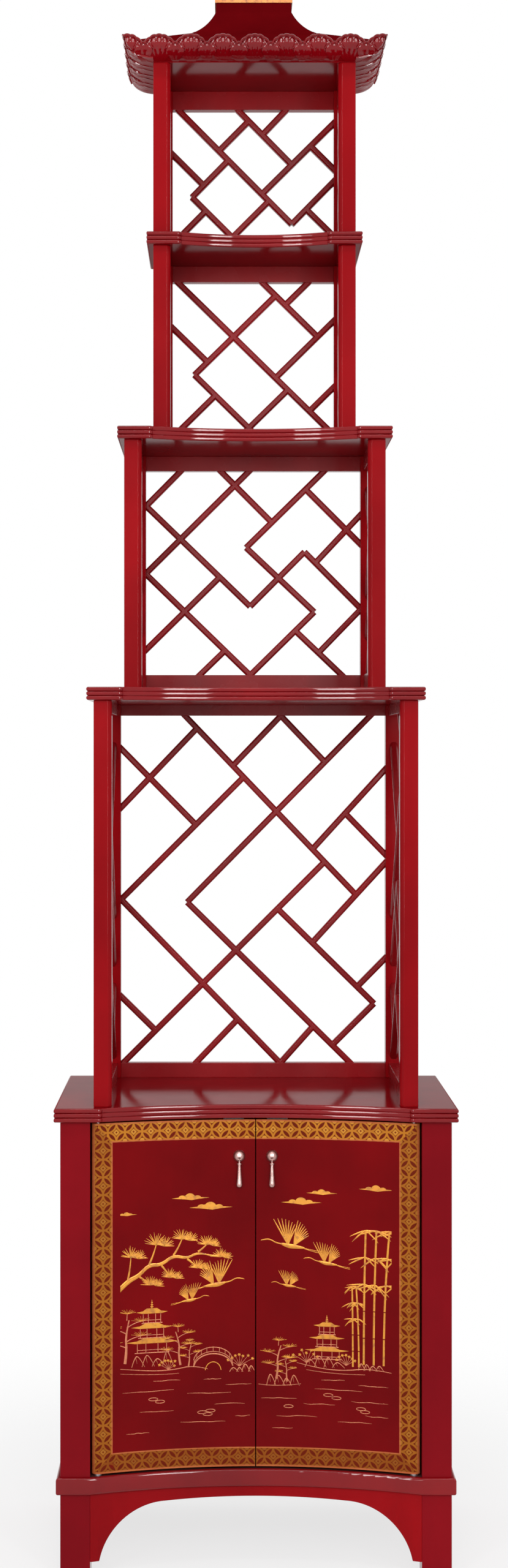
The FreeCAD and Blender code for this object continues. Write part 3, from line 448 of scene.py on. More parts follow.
def fillHoles(bm):
    bmesh.ops.holes_fill(bm, edges=[edge for edge in bm.edges if edge.is_boundary], sides=0)


def cut(bm, place, normal, drop=True):
    bmesh.ops.bisect_plane(bm, geom=bm.verts[:] + bm.edges[:] + bm.faces[:], plane_co=place,
                           plane_no=normal, clear_outer=drop)


def only(items, kind):
    return [item for item in items if isinstance(item, kind)]


def easeEdges(bm, width, sharpest):
    sharp = [edge for edge in bm.edges if edge.is_manifold
             and edge.calc_face_angle(0) > radians(sharpest)]
    bmesh.ops.bevel(bm, geom=sharp, offset=width, offset_type="OFFSET",
                    segments=arris["steps"], profile=0.5, affect="EDGES", clamp_overlap=True,
                    material=-1)


def ringEdges(bm, places):
    verts = [bm.verts.new(place) for place in places]
    return verts, [bm.edges.new((verts[i - 1], verts[i])) for i in range(len(verts))]


def bridgeRings(bm, rings):
    # closes a body through rings of points that follow one another, capped at both ends
    loops = [ringEdges(bm, ring)[1] for ring in rings]
    for first, second in zip(loops, loops[1:]):
        bmesh.ops.bridge_loops(bm, edges=first + second)
    fillHoles(bm)
    faceOut(bm)


# flat boards, legs, posts and aprons

def softened(node, width=arris["width"]):
    # the board as it is in the solid, with its arrises eased the way a lacquerer leaves them
    bm = bmesh.new()
    bm.from_mesh(nodes[node].data)
    dropDoubles(bm)
    bmesh.ops.dissolve_limit(bm, angle_limit=radians(0.4), verts=bm.verts, edges=bm.edges)
    easeEdges(bm, width, arris["sharpest"])
    bmesh.ops.dissolve_degenerate(bm, dist=0.0000005, edges=bm.edges)
    settle(f"eased_{node}", bm, node, smooth=arris["smooth"])


eased = [node for node in nodes if "post" in node or node.startswith(
    ("leg_", "side_", "front_apron", "band_", "roof_soffit", "back_rail", "inner_shelf"))]
for node in eased:
    softened(node)
for side, _ in sides:
    softened(f"pull_rosette_{side}", arris["fineWidth"])
print("eased boards:", len(eased))


# the cabinet top and the three shelves

boardLook = dict(
    reeds=3, roundShare=0.44, roundSteps=10, hollowSteps=44, earStep=0.006, cornerSteps=5,
    smooth=50)
boards = {"cabinet_top": (0.070, 0.044), "shelf_above_tier1": (0.053, 0.040),
          "shelf_above_tier2": (0.053, 0.035), "shelf_above_tier3": (0.053, 0.026)}


def planOutline(half, front, back, ear, hollow, inset):
    # the board's plan: ears, a small rounded step and a long hollow, from left to right,
    # drawn in by the inset along the front and the sides
    steps, count = boardLook["cornerSteps"], boardLook["hollowSteps"]
    half, front, ear = half - inset, front + inset, ear - 2 * inset
    step, corner = half - ear, boardLook["earStep"] - inset
    rise = hollow - corner
    radius = (step * step + rise * rise) / (2 * rise)
    middle = front + hollow - radius
    reach = asin(step / radius)
    points = [(-half, front)]
    points += [(-step - corner + corner * sin(t), front + corner - corner * cos(t))
               for t in (i * pi / 2 / steps for i in range(steps + 1))]
    points += [(radius * sin(t), middle + radius * cos(t))
               for t in (reach * (2 * i / count - 1) for i in range(1, count))]
    points += [(-x, y) for x, y in reversed(points[1:steps + 2])]
    return points + [(half, front), (half, back), (-half, back)]


def reededBoard(node, ear, hollow):
    # three half-round reeds, one above the other, run round the front and the ends
    low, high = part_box(node)
    thick = (high.z - low.z) / boardLook["reeds"]
    radius, count = thick * boardLook["roundShare"], boardLook["roundSteps"]
    rings = []
    for reed in range(boardLook["reeds"]):
        for step in range(count + 1):
            turn = pi * (step / count - 0.5)
            flat = (thick / 2 - radius) * ((turn > 0) - (turn < 0))
            z = low.z + (reed + 0.5) * thick + radius * sin(turn) + flat
            inset = radius * (1 - cos(turn))
            rings.append([(x, y, z) for x, y in
                          planOutline(high.x, low.y, high.y, ear, hollow, inset)])
    bm = bmesh.new()
    bridgeRings(bm, rings)
    dropDoubles(bm, 0.000001)
    faceOut(bm)
    settle(f"reeded_{node}", bm, node, smooth=boardLook["smooth"], levelFlat=True)


for node, (ear, hollow) in boards.items():
    reededBoard(node, ear, hollow)
print("reeded boards made")


doorShape = dict(
    thick=0.018, meetFront=0.00075, meetBack=0.00375, meetZone=0.002, pivotX=0.2284, steps=56,
    hingeSteps=8, hingeTip=0.02, arris=0.0008, sharpest=40)


def concaveDoor(side, sign):
    # one section swung about the middle of the hollow, with a half-round hinge edge
    shape, node = doorShape, f"door_{side}"
    low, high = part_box(node)
    radius, hub = frontArc["radius"], Vector((0, frontArc["centreY"], 0))
    thick, half = shape["thick"], shape["thick"] / 2
    start = asin(shape["meetFront"] / radius)
    pivot = asin(shape["pivotX"] / (radius + half))
    bm = bmesh.new()
    section = bm.faces.new([bm.verts.new((0, hub.y + r, z)) for r, z in
                            ((radius, low.z), (radius + thick, low.z),
                             (radius + thick, high.z), (radius, high.z))])
    bmesh.ops.rotate(bm, verts=bm.verts, cent=hub,
                     matrix=Matrix.Rotation(-sign * start, 3, "Z"))
    swept = bmesh.ops.spin(bm, geom=[section], cent=hub, axis=(0, 0, 1),
                           angle=-sign * (pivot - start), steps=shape["steps"],
                           use_duplicate=False)
    # the hinge edge: the end face swung on round the pin
    end = only(swept["geom_last"], bmesh.types.BMFace)
    pin = Vector((sign * shape["pivotX"],
                  hub.y + sqrt((radius + half) ** 2 - shape["pivotX"] ** 2), 0))
    across = Vector((sin(pivot) * sign, cos(pivot), 0))
    outward = Vector((cos(pivot) * sign, -sin(pivot), 0))
    for step in range(1, shape["hingeSteps"] + 1):
        grown = bmesh.ops.extrude_face_region(bm, geom=end)["geom"]
        bmesh.ops.delete(bm, geom=end, context="FACES_ONLY")
        end = only(grown, bmesh.types.BMFace)
        turn = pi / 2 * step / shape["hingeSteps"]
        wide = half * max(cos(turn), shape["hingeTip"])
        for vert in only(grown, bmesh.types.BMVert):
            way = 1 if (vert.co - pin).dot(across) > 0 else -1
            spot = pin + across * way * wide + outward * half * sin(turn)
            vert.co.x, vert.co.y = spot.x, spot.y
    dropDoubles(bm)
    faceOut(bm)
    # the back arris of the meeting edge is planed off so that the doors clear each other
    for vert in bm.verts:
        deep = hypot(vert.co.x, vert.co.y - hub.y) > radius + half
        if abs(vert.co.x) < shape["meetZone"] and deep:
            vert.co.x = sign * shape["meetBack"]
    easeEdges(bm, shape["arris"], shape["sharpest"])
    settle(f"concave_{node}", bm, node, smooth=arris["smooth"])


for side, sign in sides:
    concaveDoor(side, sign)
print("doors made")


# the lotus cornice

corniceLook = dict(
    halfRun=0.153, depth=0.178, endGap=0.010, lastGap=0.003, frontCount=7, sideCount=4,
    lift=0.001, smooth=60, leafIn=0.0065, leafLow=0.010, leafShare=0.6, leafRibs=3,
    leafLip=0.4)
coreLook = dict(
    foot=0.0015, out=0.037, rise=0.0185, steps=8,
    back=[(0.031, 0.020), (0.0202, 0.014), (0.0, 0.014)])
petalLook = dict(
    hub=0.015, out=0.0435, rise=0.0275, halfWide=0.0228, ribs=5, ribDeep=0.0021, ribNotch=0.04,
    ribFade=2.5, thick=0.0024, rollRadius=0.0024, rollTurn=0.8, rollIn=1.8, bodyShare=0.7,
    tipDrop=0.42, tipCurve=2.4, waist=0.08, acrossSteps=30, upSteps=20)


def lotusPetal(out, rise, halfWide, ribs, lip=1.0):
    # a ribbed petal at the origin that points to -Y, its edge rolled over in a full bead
    look = petalLook
    bm = bmesh.new()
    bmesh.ops.create_grid(bm, x_segments=look["acrossSteps"], y_segments=look["upSteps"],
                          size=1)
    hub, roll, body = look["hub"], look["rollRadius"] * lip, look["bodyShare"]
    spread = asin(halfWide / (out + hub))
    for vert in bm.verts:
        u, v = vert.co.x, (vert.co.y + 1) / 2
        rib = abs(sin(ribs * pi * (u + 1) / 2))
        top = 1 - look["tipDrop"] * abs(u) ** look["tipCurve"] - look["ribNotch"] * (1 - rib)
        t = min(v / body, 1) * pi / 2
        curl = max(0, (v - body) / (1 - body)) * pi * look["rollTurn"]
        away = (hub + (out - look["rollIn"] * roll) * sin(t) + roll * (1 - cos(curl))
                + look["ribDeep"] * rib * (min(1, v * look["ribFade"]) - 0.5 * (v > body)))
        up = (rise - roll) * (1 - cos(t)) * top + roll * sin(curl)
        angle = u * spread * (1 - look["waist"] + look["waist"] * sin(v * pi))
        vert.co = (away * sin(angle), hub - away * cos(angle), up)
    faceOut(bm)
    bmesh.ops.solidify(bm, geom=bm.faces[:], thickness=look["thick"])
    faceOut(bm)
    return asMesh(bm, "petal")


def corniceCore(bm, frontY, low):
    # the bowl-shaped board behind the petals, bridged round the front and both returns
    core, x, back = coreLook, corniceLook["halfRun"], corniceLook["depth"]
    rim = [(0.0, core["foot"])]
    rim += [(core["out"] * sin(t), core["foot"] + core["rise"] * (1 - cos(t)))
            for t in (pi / 2 * i / core["steps"] for i in range(1, core["steps"] + 1))]
    rim += core["back"]
    bridgeRings(bm, [[(cx + dx * out, frontY + cy + dy * out, low + up) for out, up in rim]
                     for cx, cy, dx, dy in ((-x, back, -1, 0), (-x, 0, -1, -1),
                                            (x, 0, 1, -1), (x, back, 1, 0))])


def petalRows(tall, leaf):
    # each petal's form, place and turn, and which way the mitre's waste lies
    look = corniceLook
    edge, gap = look["halfRun"], look["endGap"]
    run, last = edge - gap, look["depth"] - petalLook["halfWide"] - look["lastGap"]
    front = [run * (2 * i / (look["frontCount"] - 1) - 1) for i in range(look["frontCount"])]
    side = [gap + (last - gap) * i / (look["sideCount"] - 1) for i in range(look["sideCount"])]
    step = front[1] - front[0]
    rows = [(tall, x, 0, 0) for x in front]
    rows += [(leaf, (a + b) / 2, 0, 0) for a, b in zip(front, front[1:])]
    for sign in (-1, 1):
        rows += [(tall, sign * edge, y, sign * 90) for y in side]
        rows += [(leaf, sign * edge, (a + b) / 2, sign * 90) for a, b in zip(side, side[1:])]
        rows += [(leaf, sign * (run + step / 2), 0, 0),
                 (leaf, sign * edge, gap - step / 2, sign * 90)]
        # the last petal of each length is sawn off at the mitre
        rows += [(tall, sign * (run + step), 0, 0, (sign, 1)),
                 (tall, sign * edge, gap - step, sign * 90, (-sign, -1))]
    return rows


def lotusCornice():
    look, petal, low = corniceLook, petalLook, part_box("roof_soffit")[0]
    bm = bmesh.new()
    corniceCore(bm, low.y, low.z)
    tall = lotusPetal(petal["out"], petal["rise"], petal["halfWide"], petal["ribs"])
    leaf = lotusPetal(petal["out"] - look["leafIn"], petal["rise"] - look["leafLow"],
                      petal["halfWide"] * look["leafShare"], look["leafRibs"],
                      look["leafLip"])
    for form, x, y, turn, *mitre in petalRows(tall, leaf):
        part = bmesh.new()
        part.from_mesh(form)
        spot = Matrix.Translation((x, low.y + y, low.z + look["lift"]))
        bmesh.ops.transform(part, verts=part.verts,
                            matrix=spot @ Matrix.Rotation(radians(turn), 4, "Z"))
        for away in mitre:
            cut(part, (away[0] * away[1] * look["halfRun"], low.y, 0), (*away, 0))
            fillHoles(part)
            faceOut(part)
        bm.from_mesh(asMesh(part, "petal"))
    settle("lotus_cornice", bm, "cornice", smooth=look["smooth"])


lotusCornice()
print("cornice made")


roofLook = dict(
    neckHalf=0.0585, eave=0.1145, edge=0.015, shoulder=0.0477, neckLow=0.092, high=0.106,
    flareOut=0.0375, flareRadius=0.103, flareSteps=14, hipEase=0.0012, hipSharpest=50,
    giltHigh=0.012, giltOut=0.0015, capHigh=0.014, capOut=0.0015, capBevel=0.005)


def stackedRings(bm, levels, frontY, backY):
    # rectangles whose half width and front grow by the same offset at each height
    rings = []
    for out, z in levels:
        half = roofLook["neckHalf"] + out
        rings.append([(-half, frontY - out, z), (half, frontY - out, z), (half, backY, z),
                      (-half, backY, z)])
    bridgeRings(bm, rings)


def flaredRoof():
    shape = roofLook
    low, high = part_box("roof")
    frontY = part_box("roof_cap")[0].y + shape["capOut"]
    # the flare is an arc from the shoulder to the foot of the upright neck
    foot, top = Vector((shape["flareOut"], shape["shoulder"])), Vector((0, shape["neckLow"]))
    chord, radius = top - foot, shape["flareRadius"]
    reach = sqrt(radius ** 2 - chord.length_squared / 4)
    hub = (foot + top) / 2 + Vector((chord.y, -chord.x)).normalized() * reach
    outs = [shape["flareOut"] * (1 - step / shape["flareSteps"])
            for step in range(shape["flareSteps"] + 1)]
    levels = [(shape["eave"], 0.0), (shape["eave"], shape["edge"])]
    levels += [(out, hub.y - sqrt(radius ** 2 - (hub.x - out) ** 2)) for out in outs]
    levels.append((0.0, shape["high"]))
    bm = bmesh.new()
    stackedRings(bm, [(out, low.z + z) for out, z in levels], frontY, high.y)
    easeEdges(bm, shape["hipEase"], shape["hipSharpest"])
    settle("flared_roof", bm, "roof", smooth=arris["smooth"])


def giltNeckAndCap():
    shape, high = roofLook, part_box("roof")[1]
    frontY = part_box("roof_cap")[0].y + shape["capOut"]
    neck, out = high.z + shape["giltHigh"], shape["capOut"]
    top = neck + shape["capHigh"]
    bm = bmesh.new()
    stackedRings(bm, [(shape["giltOut"], high.z), (shape["giltOut"], neck)], frontY, high.y)
    gilt = set(bm.faces)
    stackedRings(bm, [(out, neck), (out, top - shape["capBevel"]),
                      (out - shape["capBevel"], top)], frontY, high.y)
    for face in bm.faces:
        face.material_index = 1 if face in gilt else 0
    cap = settle("gilt_neck_and_cap", bm, "roof_cap")
    cap.data.materials.append(finishes["giltNeck"])


flaredRoof()
giltNeckAndCap()
print("roof made")


# the drop pulls: a turned profile of (radius, height), in millimetres, under an eye

pullLook = dict(
    steps=40, rise=0.597, offset=0.024, pinOut=0.0058, gap=0.0001, eyeOut=0.0017,
    eyeThick=0.00065, eyeHigh=0.0012, eyeSides=12, eyeSteps=24, drop=((1.3, -1.6), (1.3, -4.6),
    (2.1, -5), (2.1, -5.4), (3.3, -5.8), (3.8, -6.7), (3.3, -7.7), (2.3, -8.1), (2.7, -8.6),
    (2.7, -9.1), (2.2, -9.6), (2.6, -15), (3.1, -22), (3.7, -29), (4.4, -34.5), (4.6, -36.5),
    (4.4, -38.5), (3.4, -40.2), (1.8, -40.9), (0, -41)))


def onDoor(sign, x, radiusLess, z):
    # the frame of a place on the concave face: X along it, -Y straight out, Z up
    turn = asin(x / frontArc["radius"])
    reach = frontArc["radius"] - radiusLess
    place = (sign * reach * sin(turn), frontArc["centreY"] + reach * cos(turn), z)
    return Matrix.Translation(place) @ Matrix.Rotation(-sign * turn, 4, "Z")


def spinRound(bm, geom, axis, steps):
    bmesh.ops.spin(bm, geom=geom, cent=(0, 0, 0), axis=axis, angle=2 * pi, steps=steps,
                   use_merge=True)
    dropDoubles(bm, 0.000005)


def dropPull(side, sign):
    look = pullLook
    bm, eye = bmesh.new(), bmesh.new()
    rim = [bm.verts.new((radius / 1000, 0, height / 1000)) for radius, height in look["drop"]]
    line = [bm.edges.new(pair) for pair in zip(rim, rim[1:])]
    spinRound(bm, rim + line, (0, 0, 1), look["steps"])
    fillHoles(bm)
    faceOut(bm)
    turns = [2 * pi * i / look["eyeSides"] for i in range(look["eyeSides"])]
    verts, loop = ringEdges(eye, [(0, look["eyeOut"] + look["eyeThick"] * sin(t),
                                   look["eyeHigh"] * cos(t)) for t in turns])
    spinRound(eye, verts + loop, (1, 0, 0), look["eyeSteps"])
    faceOut(eye)
    bm.from_mesh(asMesh(eye, "eye"))
    bmesh.ops.transform(bm, verts=bm.verts, matrix=onDoor(
        sign, look["offset"], look["gap"] + look["pinOut"], look["rise"]))
    node = f"pull_drop_{side}"
    settle(f"turned_{node}", bm, node)


for side, sign in sides:
    dropPull(side, sign)
print("pulls made")


# the gilt painting on the doors, in millimetres along the arc and up from the floor

painting = dict(
    seed=11, lift=0.00006, flatten=0.16, patchHigh=0.22, nearest=2.0, furthest=199.0,
    cutEvery=10, curveSteps=4)
strokes = []  # (points, width, paint); a point may add its share of the width
patches = []  # (points, paint)
dice = random.Random(painting["seed"])


def stroke(points, width, paint="gold"):
    strokes.append((points, width, paint))


def arcPoints(u, v, wide, high, start, stop, count=8):
    turns = [radians(start + (stop - start) * i / count) for i in range(count + 1)]
    return [(u + wide * cos(t), v + high * sin(t)) for t in turns]


def laid(u, v, size, points, way=1):
    # points in shares of a motif's size, laid round its foot
    return [(u + way * x * size, v + y * size, *share) for x, y, *share in points]


cloudShape = dict(
    crowns=((-0.42, 0.2, 0.13), (0.0, 0.28, 0.24), (0.4, 0.2, 0.12)), foot=((1.05, -0.01),
    (0.45, -0.07), (0.1, -0.13), (-0.3, -0.08), (-1.0, -0.02)))


def cloud(u, v, size):
    # a drifting cloud: a long flat foot and three low crowns
    rim = []
    for shift, wide, high in cloudShape["crowns"]:
        rim += arcPoints(u + shift * size, v, wide * size, high * size, 170, 10, 7)
    patches.append((rim + laid(u, v, size, cloudShape["foot"]), "gold"))


needles = dict(count=13, step=14, jitter=4, long=(0.8, 1.05), width=1.5)


def needleFan(u, v, reach, turn):
    # a tuft of pine needles that spreads round the given angle
    first = turn - needles["step"] * (needles["count"] - 1) / 2
    for k in range(needles["count"]):
        angle = radians(first + needles["step"] * k
                             + dice.uniform(-needles["jitter"], needles["jitter"]))
        long = reach * dice.uniform(*needles["long"])
        x, y = cos(angle), sin(angle)
        stroke(laid(u, v, long, ((0, 0, 1.0), (0.6 * x, 0.6 * y, 0.9), (x, y, 0.25))),
               needles["width"])


def bough(points, width, tufts):
    # a gnarled bough drawn with a loaded brush, with twigs that end in tufts of needles
    count = len(points)
    for shift in (-0.7, 0.7):
        stroke([(u + dice.uniform(-0.8, 0.8), v + shift * (1 - i / count) * width * 0.35
                 + dice.uniform(-0.6, 0.6), 1 - 0.75 * i / count)
                for i, (u, v) in enumerate(points)], width * 0.72)
    for at, side, long, reach in tufts:
        u, v = points[at]
        x, y = u + long * cos(radians(side)), v + long * sin(radians(side))
        stroke([(u, v, 1.1), ((u + x) / 2 + 1.5, (v + y) / 2, 0.8), (x, y, 0.5)],
               width * 0.42)
        needleFan(x, y, reach, 90)
        needleFan(x + reach * 0.7, y - reach * 0.12, reach * 0.8, 80)


pineShape = dict(
    trunk=((0, 0, 1.2), (0.1, 0.3, 1.0), (0.02, 0.55, 0.8), (0.22, 0.9, 0.5)),
    twigs=((0.35, -1), (0.5, 1), (0.66, -1), (0.8, 1), (0.97, 0)), needles=9)


def pine(u, v, size, lean):
    stroke([(u + lean * x * size, v + y * size, share) for x, y, share in pineShape["trunk"]],
           size * 0.05, "pale")
    for share, way in pineShape["twigs"]:
        x, y = u + lean * size * 0.12 + way * size * 0.3, v + size * (share + 0.06)
        root = (u + lean * size * 0.1, v + size * share * 0.92)
        stroke([(*root, 0.8), ((x + root[0]) / 2, y - 1, 0.6), (x, y, 0.4)], size * 0.025,
               "pale")
        for k in range(pineShape["needles"]):
            angle = radians(20 + 140 * k / (pineShape["needles"] - 1)
                                 + dice.uniform(-5, 5))
            reach = size * dice.uniform(0.13, 0.18)
            stroke([(x, y, 0.7), (x + reach * cos(angle) * 1.3,
                                  y + reach * sin(angle) * 0.62, 0.35)], 0.9)


bambooShape = dict(
    joints=5, leafFrom=2, leaves=4, stemGap=0.075, jointGap=0.7, bend=(-0.05, 0.09),
    leafDrop=(5, 50), leafLong=(0.1, 0.15))


def bamboo(u, v, tall, stems, width):
    shape = bambooShape
    for stem in range(stems):
        foot = u + stem * tall * shape["stemGap"]
        bend = dice.uniform(*shape["bend"]) * tall
        for joint in range(shape["joints"]):
            a, b = joint / shape["joints"], (joint + 1) / shape["joints"]
            x, y = foot + bend * b * b, v + tall * b
            stroke([(foot + bend * a * a, v + tall * a + shape["jointGap"], 1),
                    (x, y - shape["jointGap"], 0.9)], width)
            for leaf in range(shape["leaves"] if joint >= shape["leafFrom"] else 0):
                way = -1 if leaf % 2 else 1
                drop = radians(dice.uniform(*shape["leafDrop"]))
                reach = tall * dice.uniform(*shape["leafLong"])
                side, fall = way * reach * cos(drop), reach * sin(drop)
                stroke([(x, y, 0.3), (x + side * 0.5, y - fall * 0.4, 1.0),
                        (x + side, y - fall, 0.1)], width * 1.1)


pagodaShape = dict(
    storeys=3, storeyHigh=0.36, wallHigh=0.22, halfWide=0.5, taper=0.1,
    posts=(-0.72, -0.3, 0.3, 0.72), roof=((1.3, 0.045), (0.75, 0.07), (0.42, 0.135)))


def pagoda(u, v, size):
    # three roofs with upturned eaves over latticed storeys
    shape = pagodaShape
    for storey in range(shape["storeys"]):
        wide = size * (shape["halfWide"] - storey * shape["taper"])
        foot = v + storey * size * shape["storeyHigh"]
        top = foot + size * shape["wallHigh"]
        for share in shape["posts"]:
            stroke([(u + wide * share, foot), (u + wide * share, top)], 1.0, "pale")
        for share, lift, width in ((0.72, 0.07, 0.8), (0.85, 0, 1.2)):
            stroke([(u - wide * share, foot + size * lift),
                    (u + wide * share, foot + size * lift)], width, "pale")
        rim = [(wide * share, top + size * lift) for share, lift in shape["roof"]]
        low = (wide * 0.8, top + size * 0.01)
        patches.append(([(u - x, y) for x, y in (rim[0], low)]
                        + [(u + x, y) for x, y in (low, *rim)]
                        + [(u - x, y) for x, y in (rim[2], rim[1])], "gold"))
    tip = v + size * 1.08
    stroke([(u, tip - size * 0.02, 1.2), (u, tip + size * 0.2, 0.4)], 1.6)
    for k in range(3):
        half, high = 2.2 - k * 0.5, tip + size * (0.03 + k * 0.05)
        stroke([(u - half, high), (u + half, high)], 0.9)


def bridge(u, v, wide, high):
    for lift, width in ((0, 1.6), (3.2, 0.9), (9.5, 1.1)):
        stroke(arcPoints(u, v + lift, wide / 2, high, 172, 8, 12), width, "pale")
    for x, y in arcPoints(u, v, wide / 2, high, 164, 16):
        stroke([(x, y + 3), (x, y + 10.5)], 0.8, "pale")
    stroke(arcPoints(u, v - 4, wide * 0.2, high * 0.62, 175, 5, 10), 1.0)


craneShape = dict(
    body=((-0.32, -0.05, 0.4), (-0.1, -0.02, 1.2), (0.1, 0.0, 1.3), (0.24, 0.05, 0.5)),
    neck=((0.2, 0.04, 1.0), (0.36, 0.06, 0.7), (0.5, 0.15, 0.6), (0.62, 0.16, 0.9),
    (0.74, 0.13, 0.3)), leg=((-0.28, -0.05, 0.9), (-0.52, -0.14, 0.7), (-0.74, -0.17, 0.4)),
    otherLeg=((-0.28, -0.05, 0.9), (-0.52, -0.1, 0.7), (-0.74, -0.13, 0.4)),
    wings=((-0.06, 0.0, 96, 142, 0.62), (0.08, 0.02, 58, 112, 0.74)), feathers=8,
    featherTaper=0.34)


def crane(u, v, size, way):
    # a flying crane: neck and legs stretched out, and two wings of single feathers
    shape = craneShape
    rows = [(shape["body"], 0.085), (shape["neck"], 0.035), (shape["leg"], 0.02),
            (shape["otherLeg"], 0.02)]
    for x, y, first, last, long in shape["wings"]:
        for k in range(shape["feathers"]):
            share = k / (shape["feathers"] - 1)
            angle = radians(first + (last - first) * share)
            reach = long * (1 - shape["featherTaper"] * share)
            across, up = reach * cos(angle), reach * sin(angle)
            rows.append((((x, y, 0.5), (x + 0.55 * across, y + 0.6 * up, 1.1),
                          (x + across - 0.04, y + up, 0.25)), 0.042))
    for points, width in rows:
        stroke(laid(u, v, size, points, way), size * width)


def water(u, v, long):
    stroke([(u + long * i / 6, v + dice.uniform(-0.8, 0.8), 0.3 + 0.7 * sin(pi * i / 6))
            for i in range(7)], 0.9, "pale")


def ripple(u, v):
    stroke(arcPoints(u, v, 7, 2.2, 0, 350, 12), 0.9, "pale")


def rocks(u, v, size):
    for _ in range(4):
        wide, high = size * dice.uniform(0.3, 0.5), size * dice.uniform(0.2, 0.5)
        stroke([(u, v, 0.6), (u + wide * 0.25, v + high, 1.1),
                (u + wide * 0.6, v + high * 0.9, 0.9), (u + wide, v, 0.4)], 1.3, "pale")
        stroke([(u + wide * 0.3, v + high * 0.9, 0.7), (u + wide * 0.42, v + high * 0.3, 0.2)],
               1.0, "pale")
        u += wide * 0.8


def blossomBush(u, v, size):
    for k in range(7):
        angle = radians(30 + 20 * k)
        reach = size * dice.uniform(0.5, 0.8)
        x, y = u + reach * cos(angle), v + reach * sin(angle)
        stroke([(u, v, 0.8), ((u + x) / 2 + 1, (v + y) / 2 + 1, 0.6), (x, y, 0.3)], 0.9, "pale")
        for petal in range(5):
            turn = radians(72 * petal + 15 * k)
            stroke([(x, y, 0.7), (x + 2.1 * cos(turn), y + 2.1 * sin(turn), 0.9)],
                   1.3)


def shoreLine(width, *points):
    stroke([(*point, 0.5 + 0.5 * sin(pi * i / (len(points) - 1)))
            for i, point in enumerate(points)], width, "pale")


# where each motif stands, in the order in which it is painted
doorScene = (
    (cloud, ((-96, 541, 27), (-66, 527, 31), (-190, 520, 15), (96, 548, 22), (66, 534, 29),
        (176, 556, 25))),
    # a pine bough that reaches in over the lake, cranes that fly to meet, and tall bamboo
    (bough, ((((-204, 408), (-188, 424), (-172, 430), (-156, 446), (-138, 444), (-120, 458),
        (-100, 452), (-84, 462), (-66, 456)), 6.4,
        ((1, 82, 34, 17), (2, -38, 22, 14), (3, 70, 30, 18), (4, -55, 22, 14),
        (5, 62, 26, 17), (6, -42, 20, 13), (7, 40, 16, 15), (8, -8, 14, 13))),)),
    (crane, ((-58, 414, 56, 1), (-96, 392, 38, 1), (52, 470, 60, -1), (104, 446, 46, -1),
        (48, 412, 34, -1))),
    (bamboo, ((158, 300, 196, 4, 3.0), (142, 296, 118, 2, 2.4))),
    # left door: a pagoda on its rocks, pines, and a bridge towards the middle
    (rocks, ((-182, 298, 44),)),
    (pagoda, ((-152, 318, 60),)),
    (pine, ((-192, 304, 70, 0.4), (-110, 298, 54, -0.6), (-98, 296, 36, 0.5))),
    (shoreLine, ((1.2, (-206, 298), (-160, 291), (-120, 291), (-92, 297), (-70, 291)),
        (0.9, (-200, 290), (-150, 284), (-112, 286)))),
    (bridge, ((-62, 292, 58, 21),)),
    (rocks, ((-38, 286, 28),)),
    (blossomBush, ((-24, 294, 30), (-128, 292, 20))),
    (water, ((-196, 262, 76), (-100, 256, 64), (-60, 240, 44), (-170, 232, 50),
        (-110, 214, 66), (-44, 268, 38), (-190, 202, 34), (-150, 276, 40),
        (-76, 276, 26), (-30, 222, 22))),
    (ripple, ((-150, 250), (-140, 246), (-78, 228), (-70, 225), (-66, 230))),
    # right door: a pavilion between bushes on the shore
    (pagoda, ((104, 306, 50),)),
    (rocks, ((72, 294, 40), (150, 292, 30))),
    (shoreLine, ((1.2, (60, 300), (92, 292), (130, 290), (168, 296), (206, 290)),
        (0.9, (74, 290), (110, 284), (160, 286)))),
    (blossomBush, ((74, 300, 28), (132, 298, 22))),
    (rocks, ((16, 266, 34),)),
    (pine, ((30, 276, 54, 0.6), (46, 272, 34, -0.4))),
    (shoreLine, ((1.2, (4, 268), (30, 264), (66, 269)),)),
    (water, ((8, 248, 52), (86, 262, 70), (70, 240, 46), (140, 246, 54), (30, 222, 60),
        (120, 216, 50), (160, 226, 34), (24, 204, 30), (150, 270, 44), (96, 276, 34))),
    (ripple, ((106, 254), (118, 250), (48, 236), (154, 236), (160, 232))))


def onSide(drawn, paint, sign):
    # what is drawn in this paint on this side's door
    return [item for item in drawn if item[-1] == paint
            and (sum(point[0] for point in item[0]) > 0) == (sign > 0)]


def brushed(drawn):
    # the strokes as one flat curve with round brush marks
    curve = bpy.data.curves.new("strokes", "CURVE")
    curve.dimensions = "3D"
    curve.bevel_depth, curve.bevel_resolution = 0.5, 1
    curve.resolution_u = painting["curveSteps"]
    curve.use_fill_caps = True
    for points, width, _ in drawn:
        smooth = len(points) > 2
        spline = curve.splines.new("NURBS" if smooth else "POLY")
        spline.points.add(len(points) - 1)
        for knot, (u, v, *share) in zip(spline.points, points):
            knot.co = (u, v, 0, 1)
            knot.radius = width * (share[0] if share else 1)
        if smooth:
            spline.order_u = 3
            spline.use_endpoint_u = True
    holder = inScene("strokes", curve)
    bpy.context.view_layer.update()
    mesh = bpy.data.meshes.new_from_object(holder)
    bpy.data.objects.remove(holder)
    return mesh


def wrapped(vert):
    # lays a point (u, v, lift), in millimetres, on the concave faces of the doors
    u, v, lift = vert.co
    radius = frontArc["radius"] - painting["lift"] - lift / 1000
    turn = u / 1000 / frontArc["radius"]
    vert.co = (radius * sin(turn), frontArc["centreY"] + radius * cos(turn),
               v / 1000)


